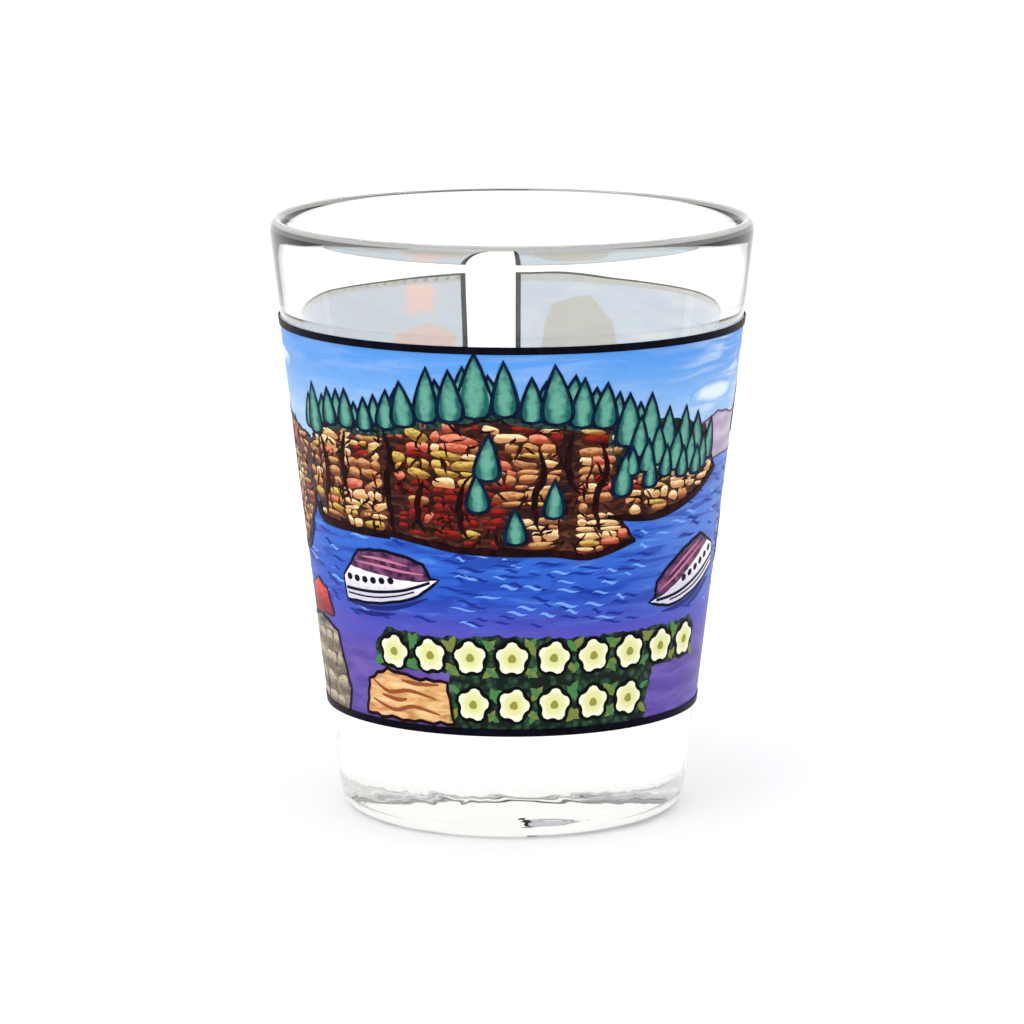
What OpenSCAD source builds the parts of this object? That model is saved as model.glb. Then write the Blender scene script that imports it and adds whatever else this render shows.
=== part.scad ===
// Souvenir shot glass: a pressed glass tumbler with a fired transfer print wrapped round it.
// Origin at the middle of the ring it stands on, +Z up, the front of the print faces -Y, millimetres.
// The print is a stack of enamel films: a white underprint, a mosaic of colours, then overprinted motifs.

/* [Glass] */
// Height of the glass
height = 60; // [57:0.5:66]
// Outer radius that the wall's slope reaches at the rim's height
rim_radius = 24.4; // [23:0.1:26]
// Outer radius that the wall's slope reaches at the table
foot_radius = 17.3; // [16:0.1:18.5]
// Thickness of the wall at the lip
lip_wall = 1.7; // [1.4:0.1:2.2]
// Thickness of the wall at the cavity's floor
floor_wall = 3.2; // [2.6:0.1:3.8]
// Depth of solid glass under the cavity
base_depth = 16; // [13:0.5:18]
// Radius of the curve between the cavity's floor and wall
floor_fillet = 5; // [3:0.5:6]
// Radius of the heel between the wall and the standing ring
heel_radius = 2; // [1:0.25:2.5]
// Depth of the hollow under the base
hollow_depth = 1.5; // [0.5:0.25:2.5]
// Radius of the hollow under the base
hollow_radius = 12.5; // [10:0.5:13]

/* [Print] */
// Height of the print's lower edge
print_low = 10.9; // [9:0.1:10.9]
// Height of the print's upper edge
print_high = 50.2; // [50:0.1:52]
// Thickness of one enamel film
film = 0.08; // [0.05:0.01:0.12]
// Bare glass between the two ends of the wrap, in degrees
gap_angle = 14; // [8:1:20]
// Direction of the middle of that gap, in degrees round from the front towards +X
gap_turn = 186; // [180:1:190]
// Width of the black lines along the print's edges
border_width = 0.75; // [0.5:0.05:1.2]
// Width of the black lines across the print's ends
end_line_width = 0.65; // [0.4:0.05:1]

/* [Scenery] */
// Height of the line where the river meets the far shore
horizon = 38; // [37:0.5:39]
// Height of the line where the blue water turns violet
shallows = 21.5; // [21:0.25:22.5]
// Width of a tree against its height
tree_slimness = 0.46; // [0.35:0.01:0.5]
// Radius of a blossom
blossom_radius = 1.7; // [1.2:0.1:1.9]
// Petals on a blossom
petals = 5; // [5:1:7]
// Length of a ripple on the river
ripple_length = 4; // [2.5:0.25:4.5]
// Thickness of a ripple
ripple_width = 0.45; // [0.3:0.05:0.6]

/* [Hidden] */
$fn = 240;
// Motifs are placed by [distance round the glass, height], the distance taken at this radius
wrap_radius = 21;
slope = (rim_radius - foot_radius) / height;
wall_angle = atan(slope);
floor_radius = outer(base_depth) - floor_wall;
bore_slope = (rim_radius - lip_wall - floor_radius) / (height - base_depth);
bore_angle = atan(bore_slope);
lip_radius = lip_wall / (1 / cos(wall_angle) + 1 / cos(bore_angle) + slope - bore_slope);
lip_centre = [outer(height - lip_radius) - lip_radius / cos(wall_angle), height - lip_radius];
heel_centre = [outer(heel_radius) - heel_radius / cos(wall_angle), heel_radius];
fillet_centre = [bore(base_depth + floor_fillet) - floor_fillet / cos(bore_angle),
                 base_depth + floor_fillet];
hollow_sphere = (pow(hollow_radius, 2) + pow(hollow_depth, 2)) / (2 * hollow_depth);
wrap_turn = 360 - gap_angle;
wrap_start = gap_turn + gap_angle / 2 - 360;
// A motif's prism ends this far from the axis, outside the rim
reach = 30;
overshoot = 1;
leaf_steps = 6;
petal_steps = 4;
petal_depth = 0.24;

// Outer and inner radius of the wall at a height
function outer(z) = foot_radius + slope * z;
function bore(z) = floor_radius + bore_slope * (z - base_depth);
// Degrees round the glass for a distance along the wrap
function turn(distance) = distance * 180 / (PI * wrap_radius);
function lefts(outline) = [for (p = outline) p[0]];
function middle(outline) = (min(lefts(outline)) + max(lefts(outline))) / 2;
// A mirror image of an outline about a distance round the glass
function flipped(outline, about) = [for (p = outline) [2 * about - p[0], p[1]]];
function shifted(outline, by) = [for (p = outline) p + by];

// Landscape outlines, each a list of [distance round the glass, height]; neighbours overlap
left_bluff = [[-22.6, 31.4], [-17, 31], [-12.8, 30.8], [-12.2, 35], [-13.2, 37.6], [-12.4, 41],
              [-15, 41.8], [-19, 41.4], [-22, 40.2], [-24, 38.6], [-24, 34]];
main_bluff = [[-13.4, 31.2], [-5, 30], [4.6, 29.8], [4.6, 42.6], [0, 43.4], [-4, 42.4], [-8, 43],
              [-12, 41.8], [-13.8, 40.4]];
right_bluff = [[4, 29.8], [8, 29.2], [12.6, 30.4], [10.4, 33], [9.6, 37], [11.4, 41.2], [8, 42.4],
               [4, 42.8]];
right_shore = [[9, 33], [15, 32.6], [20.6, 34], [24.6, 36.2], [23.6, 37.4], [19, 37], [14, 38],
               [10, 40.6], [8.6, 37]];
left_bank = [[-36, 28], [-29, 27.4], [-25.6, 30.4], [-23, 34], [-23, 39], [-29, 40.6], [-36, 41.6]];
side_bank = [[-48, 30.6], [-42, 29], [-35.4, 28.4], [-35.4, 41], [-41, 42.6], [-46, 40]];
end_stack = [[52, 31], [58, 30.4], [63, 31], [63.6, 40], [62, 47.4], [58, 48.4], [55, 45.6], [53, 39]];
end_ledges = [[-60, 31], [-53, 30.4], [-49, 32], [-50.4, 40], [-53, 44.6], [-57, 45.6], [-60, 44]];
far_hills = [[20, 37], [40, 37], [51, 37.4], [50, 38.8], [45.4, 40], [40, 41.4], [34, 42.6], [29, 41],
             [24, 41.8], [20, 40.8]];
forest = [[9, 38.4], [14.6, 36.6], [20, 36.2], [24, 36.8], [21.6, 41], [16, 42.4], [9.4, 42.2]];
left_boulder = [[-34, 10.9], [-22, 10.9], [-20.8, 14], [-22.4, 19.6], [-27, 20.8], [-34, 19.6]];
back_boulder = [[40, 10.9], [52, 10.9], [53, 13.6], [49.6, 18.4], [44, 19.4], [40.6, 16]];
sand_rock = [[-18, 12], [-12, 11.9], [-6.4, 12], [-7, 16.2], [-11, 16.4], [-14.4, 17], [-17.2, 15.6]];
red_bush = [[-29.4, 20.9], [-26, 21], [-23, 21.2], [-24, 23.6], [-26.4, 24.4], [-28.6, 23.4]];
small_bush = [[-1.6, -1.4], [1.6, -1.4], [2, 0.2], [0.8, 1.6], [-1, 1.5], [-2, 0.2]];
boat_hull = [[-6, -1.4], [-1, -1.2], [3.6, 0], [5.8, 1.6], [2, 1.3], [-5, 2], [-6.2, 0.8]];
boat_roof = [[-5, 2], [2, 1.3], [5, 1.55], [4.2, 3], [0, 3.9], [-3.6, 3.6]];
cloud = [[-4, -0.6], [3.6, -0.8], [4.2, 0.2], [1.4, 1], [-1.4, 1.2], [-4, 0.5]];
// Three steps of foliage cover the whole strip under the blossoms
foliage = [[-15.4, 17.2], [-1.4, 16.8], [-1.4, 21], [-8, 20.9], [-14, 21.3], [-15.8, 19.4]];
foliage_foot = [[-7, 11.4], [5.6, 11.4], [5.6, 20.8], [-2, 21.2], [-3, 17.4], [-6.6, 17.2]];
foliage_end = [[5, 11.3], [16, 11.6], [16.6, 16.8], [24, 17], [24.4, 19.6], [23, 21.2], [14, 20.9],
               [5, 21]];

// [distance, foot, top] of each tree
crest_trees = [[-22, 40, 44.6], [-19.4, 41.2, 44.4], [-17, 41.2, 44.6], [-14.6, 41.2, 44],
               [-12.2, 41.6, 45], [-10.2, 42, 46], [-8, 42.6, 47.6], [-5.6, 42.8, 47.4],
               [-3.4, 43.2, 49.2], [-0.6, 43.4, 48.4], [1.8, 42.8, 46.8], [4.2, 42.6, 48],
               [6.4, 42.2, 46.6], [8.6, 42, 46]];
slope_trees = [[11.2, 40, 44.8], [13.6, 39.6, 44.6], [15.8, 38, 43], [18, 38.2, 42.8],
               [20.2, 37.6, 42], [22.4, 37.4, 41], [14, 35.6, 38.4], [10.8, 35, 39]];
cliff_trees = [[-2.4, 37, 41.2], [-3.2, 33.8, 37.2], [0.4, 30.6, 33.8], [4, 33.2, 36.6]];
far_trees = [for (i = [0:7]) [32 + 2.6 * i, 38.6 + 0.8 * (i % 2), 44 + 1.2 * (i % 3)]];
near_end_trees = [for (i = [0:4]) [-47 + 2.6 * i, 40.6 + 0.6 * (i % 2), 45.4 + 1.2 * (i % 2)]];
// [distance, height, length] of each dark stratum across the bluffs
strata = [[-19, 39, 6], [-17.5, 36.4, 7], [-18.4, 33.6, 6], [-8, 40.6, 5], [-7.4, 35.4, 6],
          [-7.4, 32.6, 7], [1, 40.4, 4], [0.6, 36, 5], [7.4, 39.6, 4], [6.6, 32, 5],
          [18, 34.8, 4], [-30, 37.4, 7], [-31, 33, 8], [-41, 36, 7], [-42, 32.6, 6],
          [57.6, 43, 6], [58, 38.4, 7], [58.2, 34.2, 7], [-55, 41, 5], [-55, 36, 6]];
strata_width = 1.1;
crevice = [[-13, 31.6], [-11.8, 31.4], [-11.2, 36], [-12, 40.8], [-12.8, 40.6], [-12.4, 36]];
// Boats, clouds, bushes, ripples and blossoms as [distance, height]
boats = [[-13.4, 25], [37, 27]];
// The boat that heads the other way, and how far its stern is raised, in degrees
facing_boat = [21.4, 24.6];
facing_tilt = 25;
clouds = [[23, 43.8], [33, 46.4], [45, 48], [-31, 46.6], [-44, 48]];
bushes = [[57, 47.6], [-56.6, 47.4], [46, 20.3]];
ripple_rows = [for (row = [0:3], i = [0:10]) [-58 + 12 * i + 5 * (row % 2), 22.9 + 2.1 * row]];
upper_blossoms = [for (i = [0:8]) [-13.2 + 4.4 * i, 18.9]];
lower_blossoms = [for (i = [0:4]) [-4.2 + 4.4 * i, 14.1]];
blossoms = concat(upper_blossoms, lower_blossoms);
// Things on the river keep this much clear water round them
boat_room = [7.8, 4.6];
river_banks = [29, 24.4];

function clear_of(spot, place) =
    abs(spot[0] - place[0]) > boat_room[0] || abs(spot[1] - place[1]) > boat_room[1];
ripples = [for (r = ripple_rows)
    if (clear_of(r, boats[0]) && clear_of(r, boats[1]) && clear_of(r, facing_boat)
        && (r[0] > -river_banks[0] || r[1] > river_banks[1])) r];

// Pointed oval that stands on its foot: a tree
function tree_outline(tree) =
    let (tall = tree[2] - tree[1], half = tall * tree_slimness / 2)
    [for (i = [0:2 * leaf_steps - 1])
        let (side = i < leaf_steps ? 1 : -1,
             rise = (i < leaf_steps ? i : 2 * leaf_steps - i) / leaf_steps)
        [tree[0] + side * half * sin(180 * pow(rise, 0.6)), tree[1] + tall * rise]];

// Lens with pointed ends: a ripple or a stratum
function lens_outline(spot, long, wide) =
    [for (i = [0:2 * petal_steps - 1])
        let (side = i < petal_steps ? -1 : 1,
             along = (i < petal_steps ? i : 2 * petal_steps - i) / petal_steps)
        [spot[0] + long * (along - 0.5), spot[1] + side * wide / 2 * sin(180 * along)]];

// Scalloped disc: a blossom
function blossom_outline(spot) =
    let (steps = petals * petal_steps)
    [for (i = [0:steps - 1])
        let (a = 360 * i / steps, r = blossom_radius * (1 - petal_depth * (1 - cos(petals * a)) / 2))
        [spot[0] + r * sin(a), spot[1] + r * cos(a)]];

// Outline of the facing boat: mirrored, tilted and moved to its place
function faced(points) =
    let (c = cos(facing_tilt), s = sin(facing_tilt))
    shifted([for (p = flipped(points, 0)) [p[0] * c - p[1] * s, p[0] * s + p[1] * c]], facing_boat);

// Thin conical sheet that follows the wall, number `level` in the stack of films
module sheet(level, low = print_low, high = print_high, start = wrap_start, angle = wrap_turn) {
    under = level * film;
    rotate([0, 0, start - 90])
        rotate_extrude(angle = angle)
            polygon([[outer(low) + under, low], [outer(low) + under + film, low],
                     [outer(high) + under + film, high], [outer(high) + under, high]]);
}

// Prism through the wall at an outline, starting just inside the wall so that neighbours stay apart
module motif(outline) {
    mid = middle(outline);
    half = turn(max(lefts(outline)) - mid);
    start = foot_radius * cos(half) - overshoot;
    rotate([0, 0, turn(mid)])
        rotate([90, 0, 0])
            translate([0, 0, start])
                linear_extrude(reach - start)
                    polygon([for (p = outline) [outer(p[1]) * sin(turn(p[0] - mid)), p[1]]]);
}

// The motifs as a film at one level of the print
module inked(level) {
    intersection() {
        sheet(level);
        union() children();
    }
}

module bluffs() {
    for (outline = [left_bluff, main_bluff, right_bluff, right_shore, left_bank, side_bank,
                    end_stack, end_ledges])
        motif(outline);
}

module boulders() {
    for (outline = [left_boulder, back_boulder]) motif(outline);
}

module foliage_strip() {
    for (outline = [foliage, foliage_foot, foliage_end]) motif(outline);
}

// Solid of revolution: wall, solid base, hollow underside, rounded heel and lip
module glass_body() {
    color([0.9, 0.95, 0.96, 0.5])
        rotate_extrude()
            difference() {
                outer_profile();
                cavity_profile();
                translate([0, hollow_depth - hollow_sphere]) circle(hollow_sphere);
                translate([-reach, -overshoot]) square([reach, height + 2 * overshoot]);
            }
}

module outer_profile() {
    toe = heel_centre + heel_radius * [cos(wall_angle), -sin(wall_angle)];
    shoulder = lip_centre + lip_radius * [cos(wall_angle), -sin(wall_angle)];
    inside = lip_centre - lip_radius * [cos(bore_angle), -sin(bore_angle)];
    polygon([[0, 0], [heel_centre[0], 0], toe, shoulder, lip_centre, inside, [0, inside[1]]]);
    translate(heel_centre) circle(heel_radius);
    translate(lip_centre) circle(lip_radius);
}

module cavity_profile() {
    edge = fillet_centre + floor_fillet * [cos(bore_angle), -sin(bore_angle)];
    polygon([[0, base_depth], [fillet_centre[0], base_depth], edge,
             lip_centre - lip_radius * [cos(bore_angle), -sin(bore_angle)],
             [lip_centre[0] - lip_radius, height + overshoot], [0, height + overshoot]]);
    translate(fillet_centre) circle(floor_fillet);
}

module white_underprint() {
    color([0.97, 0.97, 0.95]) sheet(0);
}

module sky_ink() {
    color([0.4, 0.65, 0.92])
        difference() {
            sheet(1, low = horizon);
            bluffs();
            motif(far_hills);
            motif(forest);
        }
}

module hill_ink() {
    color([0.7, 0.63, 0.75])
        difference() {
            inked(1) motif(far_hills);
            bluffs();
            motif(forest);
        }
}

module rock_ink() {
    color([0.78, 0.58, 0.34])
        difference() {
            inked(1) bluffs();
            motif(forest);
        }
}

module river_ink() {
    color([0.22, 0.42, 0.82])
        difference() {
            sheet(1, low = shallows, high = horizon);
            bluffs();
            motif(far_hills);
            motif(forest);
        }
}

module violet_water_ink() {
    color([0.38, 0.3, 0.65])
        difference() {
            sheet(1, high = shallows);
            boulders();
            motif(sand_rock);
            foliage_strip();
        }
}

module boulder_ink() {
    color([0.45, 0.4, 0.34]) inked(1) boulders();
}

module sand_ink() {
    color([0.87, 0.69, 0.47])
        difference() {
            inked(1) motif(sand_rock);
            foliage_strip();
        }
}

module foliage_ink() {
    color([0.12, 0.25, 0.17])
        inked(1) {
            foliage_strip();
            motif(forest);
        }
}

module tree_ink() {
    color([0.26, 0.56, 0.49])
        inked(2)
            for (tree = concat(crest_trees, slope_trees, cliff_trees, far_trees, near_end_trees))
                motif(tree_outline(tree));
}

module strata_ink() {
    color([0.42, 0.14, 0.07])
        difference() {
            inked(2) {
                for (s = strata) motif(lens_outline(s, s[2], strata_width));
                motif(crevice);
            }
            for (tree = cliff_trees) motif(tree_outline(tree));
        }
}

module white_ink() {
    color([0.95, 0.95, 0.93])
        inked(2) {
            for (b = boats) motif(shifted(boat_hull, b));
            motif(faced(boat_hull));
            for (c = clouds) motif(shifted(cloud, c));
        }
}

module maroon_ink() {
    color([0.33, 0.12, 0.2])
        inked(2) {
            for (b = boats) motif(shifted(boat_roof, b));
            motif(faced(boat_roof));
        }
}

module red_ink() {
    color([0.78, 0.22, 0.22])
        inked(2) {
            motif(red_bush);
            for (b = bushes) motif(shifted(small_bush, b));
        }
}

module ripple_ink() {
    color([0.1, 0.2, 0.5])
        inked(2) for (r = ripples) motif(lens_outline(r, ripple_length, ripple_width));
}

module blossom_ink() {
    color([0.9, 0.93, 0.78]) inked(2) for (b = blossoms) motif(blossom_outline(b));
}

// Frame round the whole print: two edge lines and two end lines
module black_line() {
    end_turn = turn(end_line_width);
    inner_low = print_low + border_width;
    inner_high = print_high - border_width;
    color([0.08, 0.07, 0.1]) {
        sheet(2, high = inner_low);
        sheet(2, low = inner_high);
        sheet(2, inner_low, inner_high, angle = end_turn);
        sheet(2, inner_low, inner_high, start = wrap_start + wrap_turn - end_turn, angle = end_turn);
    }
}

glass_body();
white_underprint();
sky_ink();
hill_ink();
rock_ink();
river_ink();
violet_water_ink();
boulder_ink();
sand_ink();
foliage_ink();
tree_ink();
strata_ink();
white_ink();
maroon_ink();
red_ink();
ripple_ink();
blossom_ink();
black_line();
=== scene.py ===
"""Looks of a souvenir shot glass: clear pressed glass with a fired enamel print wrapped round it."""
import math
import random

import bpy
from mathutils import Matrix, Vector
from mathutils.geometry import delaunay_2d_cdt


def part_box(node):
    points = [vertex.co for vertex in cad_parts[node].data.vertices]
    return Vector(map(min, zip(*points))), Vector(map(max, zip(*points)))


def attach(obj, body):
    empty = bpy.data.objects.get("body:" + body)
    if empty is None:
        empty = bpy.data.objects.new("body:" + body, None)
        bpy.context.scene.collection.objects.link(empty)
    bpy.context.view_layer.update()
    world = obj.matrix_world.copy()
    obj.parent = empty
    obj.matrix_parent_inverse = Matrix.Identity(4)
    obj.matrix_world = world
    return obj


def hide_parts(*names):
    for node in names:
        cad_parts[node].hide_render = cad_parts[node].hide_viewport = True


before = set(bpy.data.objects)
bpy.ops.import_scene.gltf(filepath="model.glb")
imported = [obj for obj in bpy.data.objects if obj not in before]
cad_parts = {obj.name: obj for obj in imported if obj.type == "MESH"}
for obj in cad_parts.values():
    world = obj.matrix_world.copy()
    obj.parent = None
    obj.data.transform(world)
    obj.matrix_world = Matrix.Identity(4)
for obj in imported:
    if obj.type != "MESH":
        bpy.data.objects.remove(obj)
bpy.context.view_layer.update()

# ---- sizes, in millimetres as in the design
MM = 0.001
BODY = "root"
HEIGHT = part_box("glass_body")[1].z / MM
RIM_RADIUS = 24.4
FOOT_RADIUS = 17.3
LIP_WALL = 1.7
FLOOR_WALL = 3.2
BASE_DEPTH = 16.0
FLOOR_FILLET = 5.0
HEEL_RADIUS = 2.0
LIP_RISE = 1.9
HOLLOW_DEPTH = 1.5
HOLLOW_RADIUS = 12.5
CREASE = 0.12           # from each edge of the ring it stands on to the nearest point beside it
CREASE_RISE = 0.027     # of the hollow at that distance
SLOPE = (RIM_RADIUS - FOOT_RADIUS) / HEIGHT
FLOOR_RADIUS = FOOT_RADIUS + SLOPE * BASE_DEPTH - FLOOR_WALL
BORE_SLOPE = (RIM_RADIUS - LIP_WALL - FLOOR_RADIUS) / (HEIGHT - BASE_DEPTH)
WALL_ANGLE = math.atan(SLOPE)
BORE_ANGLE = math.atan(BORE_SLOPE)

# The print is drawn flat: x is the distance round the glass at WRAP_RADIUS from the front towards +X,
# y the height above the table, z the lift off the glass.
WRAP_RADIUS = 21.0
PRINT_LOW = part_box("white_underprint")[0].z / MM
PRINT_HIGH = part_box("white_underprint")[1].z / MM
GAP_ANGLE = 14.0
GAP_TURN = 186.0
WRAP_LEFT = math.radians(GAP_TURN + GAP_ANGLE / 2 - 360) * WRAP_RADIUS
WRAP_RIGHT = math.radians(GAP_TURN - GAP_ANGLE / 2) * WRAP_RADIUS
HORIZON = 38.0
SHALLOWS = 21.5
BORDER_WIDTH = 0.75
END_LINE_WIDTH = 0.65
LAP = 0.12              # of the black line over what lies beside it
INSET = 0.1             # of the colours from the black line's outer edge
TUCK = 0.02             # of the black line's lower layers from its outer edge

# Lowest and highest lift of each layer of enamel
LINE_ON_GLASS = (-0.012, 0.06)
UNDERPRINT = (-0.015, 0.06)
LINE_UNDER_COLOURS = (0.068, 0.078)
GROUND = (0.085, 0.12)
STROKES = (0.125, 0.15)
OUTLINES = (0.155, 0.175)
CREVICE_INK = (0.178, 0.184)
FILLS = (0.18, 0.2)
WATERLINE_INK = (0.186, 0.192)
LINE_OVER_COLOURS = (0.2, 0.228)
DETAILS = (0.205, 0.225)


# ---- camera
CAMERA_DISTANCE = 500
CAMERA_ELEVATION = 10.43
CAMERA_AIM = 29.87
CAMERA_LENS = 173.8
CAMERA_SENSOR = 36
NEAREST_SEEN = 0.01


def make_camera():
    data = bpy.data.cameras.new("camera")
    data.lens = CAMERA_LENS
    data.sensor_width = CAMERA_SENSOR
    data.clip_start = NEAREST_SEEN
    camera = bpy.data.objects.new("camera", data)
    bpy.context.scene.collection.objects.link(camera)
    rise = math.radians(CAMERA_ELEVATION)
    place = Vector((0, -CAMERA_DISTANCE * math.cos(rise), HEIGHT / 2 + CAMERA_DISTANCE * math.sin(rise)))
    camera.location = place * MM
    camera.rotation_euler = (Vector((0, 0, CAMERA_AIM)) - place).to_track_quat("-Z", "Y").to_euler()
    bpy.context.scene.camera = camera


make_camera()


# ---- node trees as expressions
class Wire:
    """A socket in a node tree. Sums and products on it add Math nodes."""

    def __init__(self, net, socket):
        self.net = net
        self.socket = socket

    def __add__(self, other):
        return self.net.math("ADD", self, other)

    def __sub__(self, other):
        return self.net.math("SUBTRACT", self, other)

    def __rsub__(self, other):
        return self.net.math("SUBTRACT", other, self)

    def __mul__(self, other):
        return self.net.math("MULTIPLY", self, other)

    def __truediv__(self, other):
        return self.net.math("DIVIDE", self, other)

    def __rtruediv__(self, other):
        return self.net.math("DIVIDE", other, self)

    __radd__ = __add__
    __rmul__ = __mul__

    def ramp(self, low, high):
        """0 below low, 1 above high, and smooth between them."""
        inputs = {"Value": self, "From Min": low, "From Max": high}
        settings = {"interpolation_type": "SMOOTHSTEP"}
        return self.net.add("ShaderNodeMapRange", settings, inputs)

    def other(self, name):
        """Another output of the node that this wire leaves."""
        return Wire(self.net, self.socket.node.outputs[name])


class Net:
    """A node tree being written."""

    def __init__(self, tree):
        self.tree = tree

    def add(self, kind, settings=None, inputs=None, out=0):
        """Adds a node: its settings first, then the value or the link of each input."""
        node = self.tree.nodes.new(kind)
        for key, value in (settings or {}).items():
            if key == "stops":
                self.set_stops(node.color_ramp, value)
            else:
                setattr(node, key, value)
        for key, value in (inputs or {}).items():
            self.feed(node.inputs[key], value)
        return Wire(self, node.outputs[out]) if len(node.outputs) else node

    def feed(self, socket, value):
        if isinstance(value, Wire):
            self.tree.links.new(value.socket, socket)
        else:
            socket.default_value = value

    @staticmethod
    def set_stops(ramp, stops):
        while len(ramp.elements) < len(stops):
            ramp.elements.new(0.5)
        for element, (position, colour) in zip(ramp.elements, stops):
            element.position = position
            element.color = rgba(colour)

    def math(self, operation, *operands):
        return self.add("ShaderNodeMath", {"operation": operation}, dict(enumerate(operands)))

    def blend(self, factor, first, second, how="MIX"):
        """Colour between two colours."""
        inputs = {0: factor, 6: rgba(first), 7: rgba(second)}
        return self.add("ShaderNodeMix", {"data_type": "RGBA", "blend_type": how}, inputs, out=2)

    def stops(self, factor, stops):
        return self.add("ShaderNodeValToRGB", {"stops": stops}, {"Fac": factor})

    def attribute(self, name):
        return self.add("ShaderNodeAttribute", {"attribute_name": name}, out="Vector")

    def parts(self, vector):
        x = self.add("ShaderNodeSeparateXYZ", None, {0: vector})
        return x, x.other("Y"), x.other("Z")

    def vector(self, x, y, z=0.0):
        return self.add("ShaderNodeCombineXYZ", None, {0: x, 1: y, 2: z})

    def noise(self, vector, scale, detail=2.0, distortion=0.0):
        inputs = {"Vector": vector, "Scale": scale, "Detail": detail, "Distortion": distortion}
        return self.add("ShaderNodeTexNoise", None, inputs)

    def cells(self, vector, scale):
        return self.add("ShaderNodeTexVoronoi", None, {"Vector": vector, "Scale": scale}, out="Distance")


def rgba(colour):
    """A colour from 0 to 255 as sRGB, made linear; a wire stays as it is."""
    if isinstance(colour, Wire):
        return colour
    return (*(c / 12.92 if c <= 0.04045 else ((c + 0.055) / 1.055) ** 2.4
              for c in (v / 255 for v in colour)), 1)


# ---- materials
def new_material(name):
    material = bpy.data.materials.new(name)
    material.use_nodes = True
    shader = material.node_tree.nodes["Principled BSDF"]
    return material, Net(material.node_tree), shader


# Fired enamel: repeats of its mottling, specks and unevenness on a millimetre, and the unevenness's height
MOTTLES, SPECKS, UNEVENNESS = 2.2, 9.0, 3.5
ENAMEL_RELIEF = {"Strength": 0.12, "Distance": 0.00005}
# Colour of the underprint's painted light: an emission that stands in for the room's light shining through
# it
PAINTED_GLOW_WHITE = (1, 1, 0.97, 1)

# Pressed glass: repeats of its waves, of the foot's swirl and of smears on a metre, and the waves' height
WAVES, SWIRL, SMEARS = 90.0, 150.0, 260.0
GLASS_RELIEF = {"Strength": 0.25, "Distance": 0.0004}


def enamel(name, paint, gloss=0.4, grain=0.15, alpha=1.0, sheen=0.1, glow=0.0):
    """Fired screen-printed enamel. paint(net, x, y) gives its colour from the place on the drawing."""
    material, net, shader = new_material(name)
    drawing = net.attribute("drawing")
    x, y, _ = net.parts(drawing)
    colour = paint(net, x, y)
    mottle = net.noise(drawing, MOTTLES, detail=3)
    speck = net.noise(drawing, SPECKS, detail=2)
    lightness = (mottle - 0.5) * grain + (speck - 0.5) * (grain * 0.6) + 1.0
    shade = net.vector(lightness, lightness, lightness)
    net.feed(shader.inputs["Base Color"], net.blend(1.0, colour, shade, "MULTIPLY"))
    net.feed(shader.inputs["Roughness"], (mottle - 0.5) * 0.25 + gloss)
    shader.inputs["Alpha"].default_value = alpha
    shader.inputs["Specular IOR Level"].default_value = sheen
    # Painted light: an emission that makes the enamel shine though it is no lamp
    if glow:
        shader.inputs["Emission Color"].default_value = PAINTED_GLOW_WHITE
        shader.inputs["Emission Strength"].default_value = glow
    surface = net.noise(drawing, UNEVENNESS, detail=3)
    bump = net.add("ShaderNodeBump", None, {**ENAMEL_RELIEF, "Height": surface})
    net.feed(shader.inputs["Normal"], bump)
    return material


VIOLET = (84, 80, 184)


def plain(*colour):
    """Paint of one colour, before the enamel's own mottling."""
    return lambda net, x, y: net.blend(0.0, colour, colour)


def sky_paint(net, x, y):
    high = net.blend(y.ramp(41, 50), (140, 186, 236), (82, 150, 230))
    streaks = net.noise(net.vector(x * 0.12, y * 0.9), 1.0, detail=4, distortion=0.6)
    cloud = streaks.ramp(0.42, 0.72) * (0.2 + x.ramp(14, 27) * 0.8)
    low_haze = 1.0 - y.ramp(40, 45)
    sky = net.blend((cloud + low_haze * 0.25) * 0.75, high, (224, 234, 246))
    curls = net.noise(net.vector(x * 0.3, y * 0.45), 1.0, detail=2, distortion=2.2)
    banks = (1.0 - x.ramp(-44, -38)) * curls.ramp(0.46, 0.56)
    grey = net.blend(banks * 0.5, sky, (124, 148, 176))
    sway = (curls - 0.5) * 2.4
    blush = (1.0 - (x + sway).ramp(-55.2, -54)) * (x + sway).ramp(-58.4, -57.2) * (y + sway).ramp(46, 47.2)
    return net.blend(blush, grey, (244, 130, 130))


def hill_paint(net, x, y):
    haze = net.noise(net.vector(x * 0.25, y * 0.8), 1.0, detail=3)
    return net.blend(haze.ramp(0.3, 0.75), (164, 146, 178), (202, 188, 206))


def rock_paint(net, x, y):
    beds = net.noise(net.vector(x * 0.5, y * 1.6), 1.0, detail=4, distortion=0.8)
    brown = net.stops(beds, [(0.3, (18, 4, 6)), (0.48, (50, 18, 12)),
                             (0.62, (92, 46, 28)), (0.78, (140, 86, 52))])
    blush = (1.0 - x.ramp(-52, -48)) * y.ramp(40, 43)
    return net.blend(blush * 0.8, brown, (226, 96, 96))


def river_paint(net, x, y):
    swell = net.noise(net.vector(x * 0.16, y * 1.1), 1.0, detail=3, distortion=0.5)
    base = net.blend(y.ramp(24, 31), (42, 86, 196), (50, 106, 206))
    lit = net.blend(x.ramp(9, 22) * 0.45, base, (106, 142, 220))
    dark = net.blend(swell.ramp(0.48, 0.62) * 0.65, lit, (22, 54, 158))
    pale = net.blend((1.0 - swell.ramp(0.3, 0.42)) * 0.4, dark, (100, 156, 236))
    return net.blend(1.0 - y.ramp(SHALLOWS - 1.5, SHALLOWS + 4), pale, VIOLET)


def violet_paint(net, x, y):
    swell = net.noise(net.vector(x * 0.2, y * 0.8), 1.0, detail=3)
    deep = net.blend(swell.ramp(0.35, 0.7), (88, 66, 156), (112, 90, 176))
    return net.blend(y.ramp(SHALLOWS - 4, SHALLOWS - 0.5), deep, VIOLET)


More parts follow.
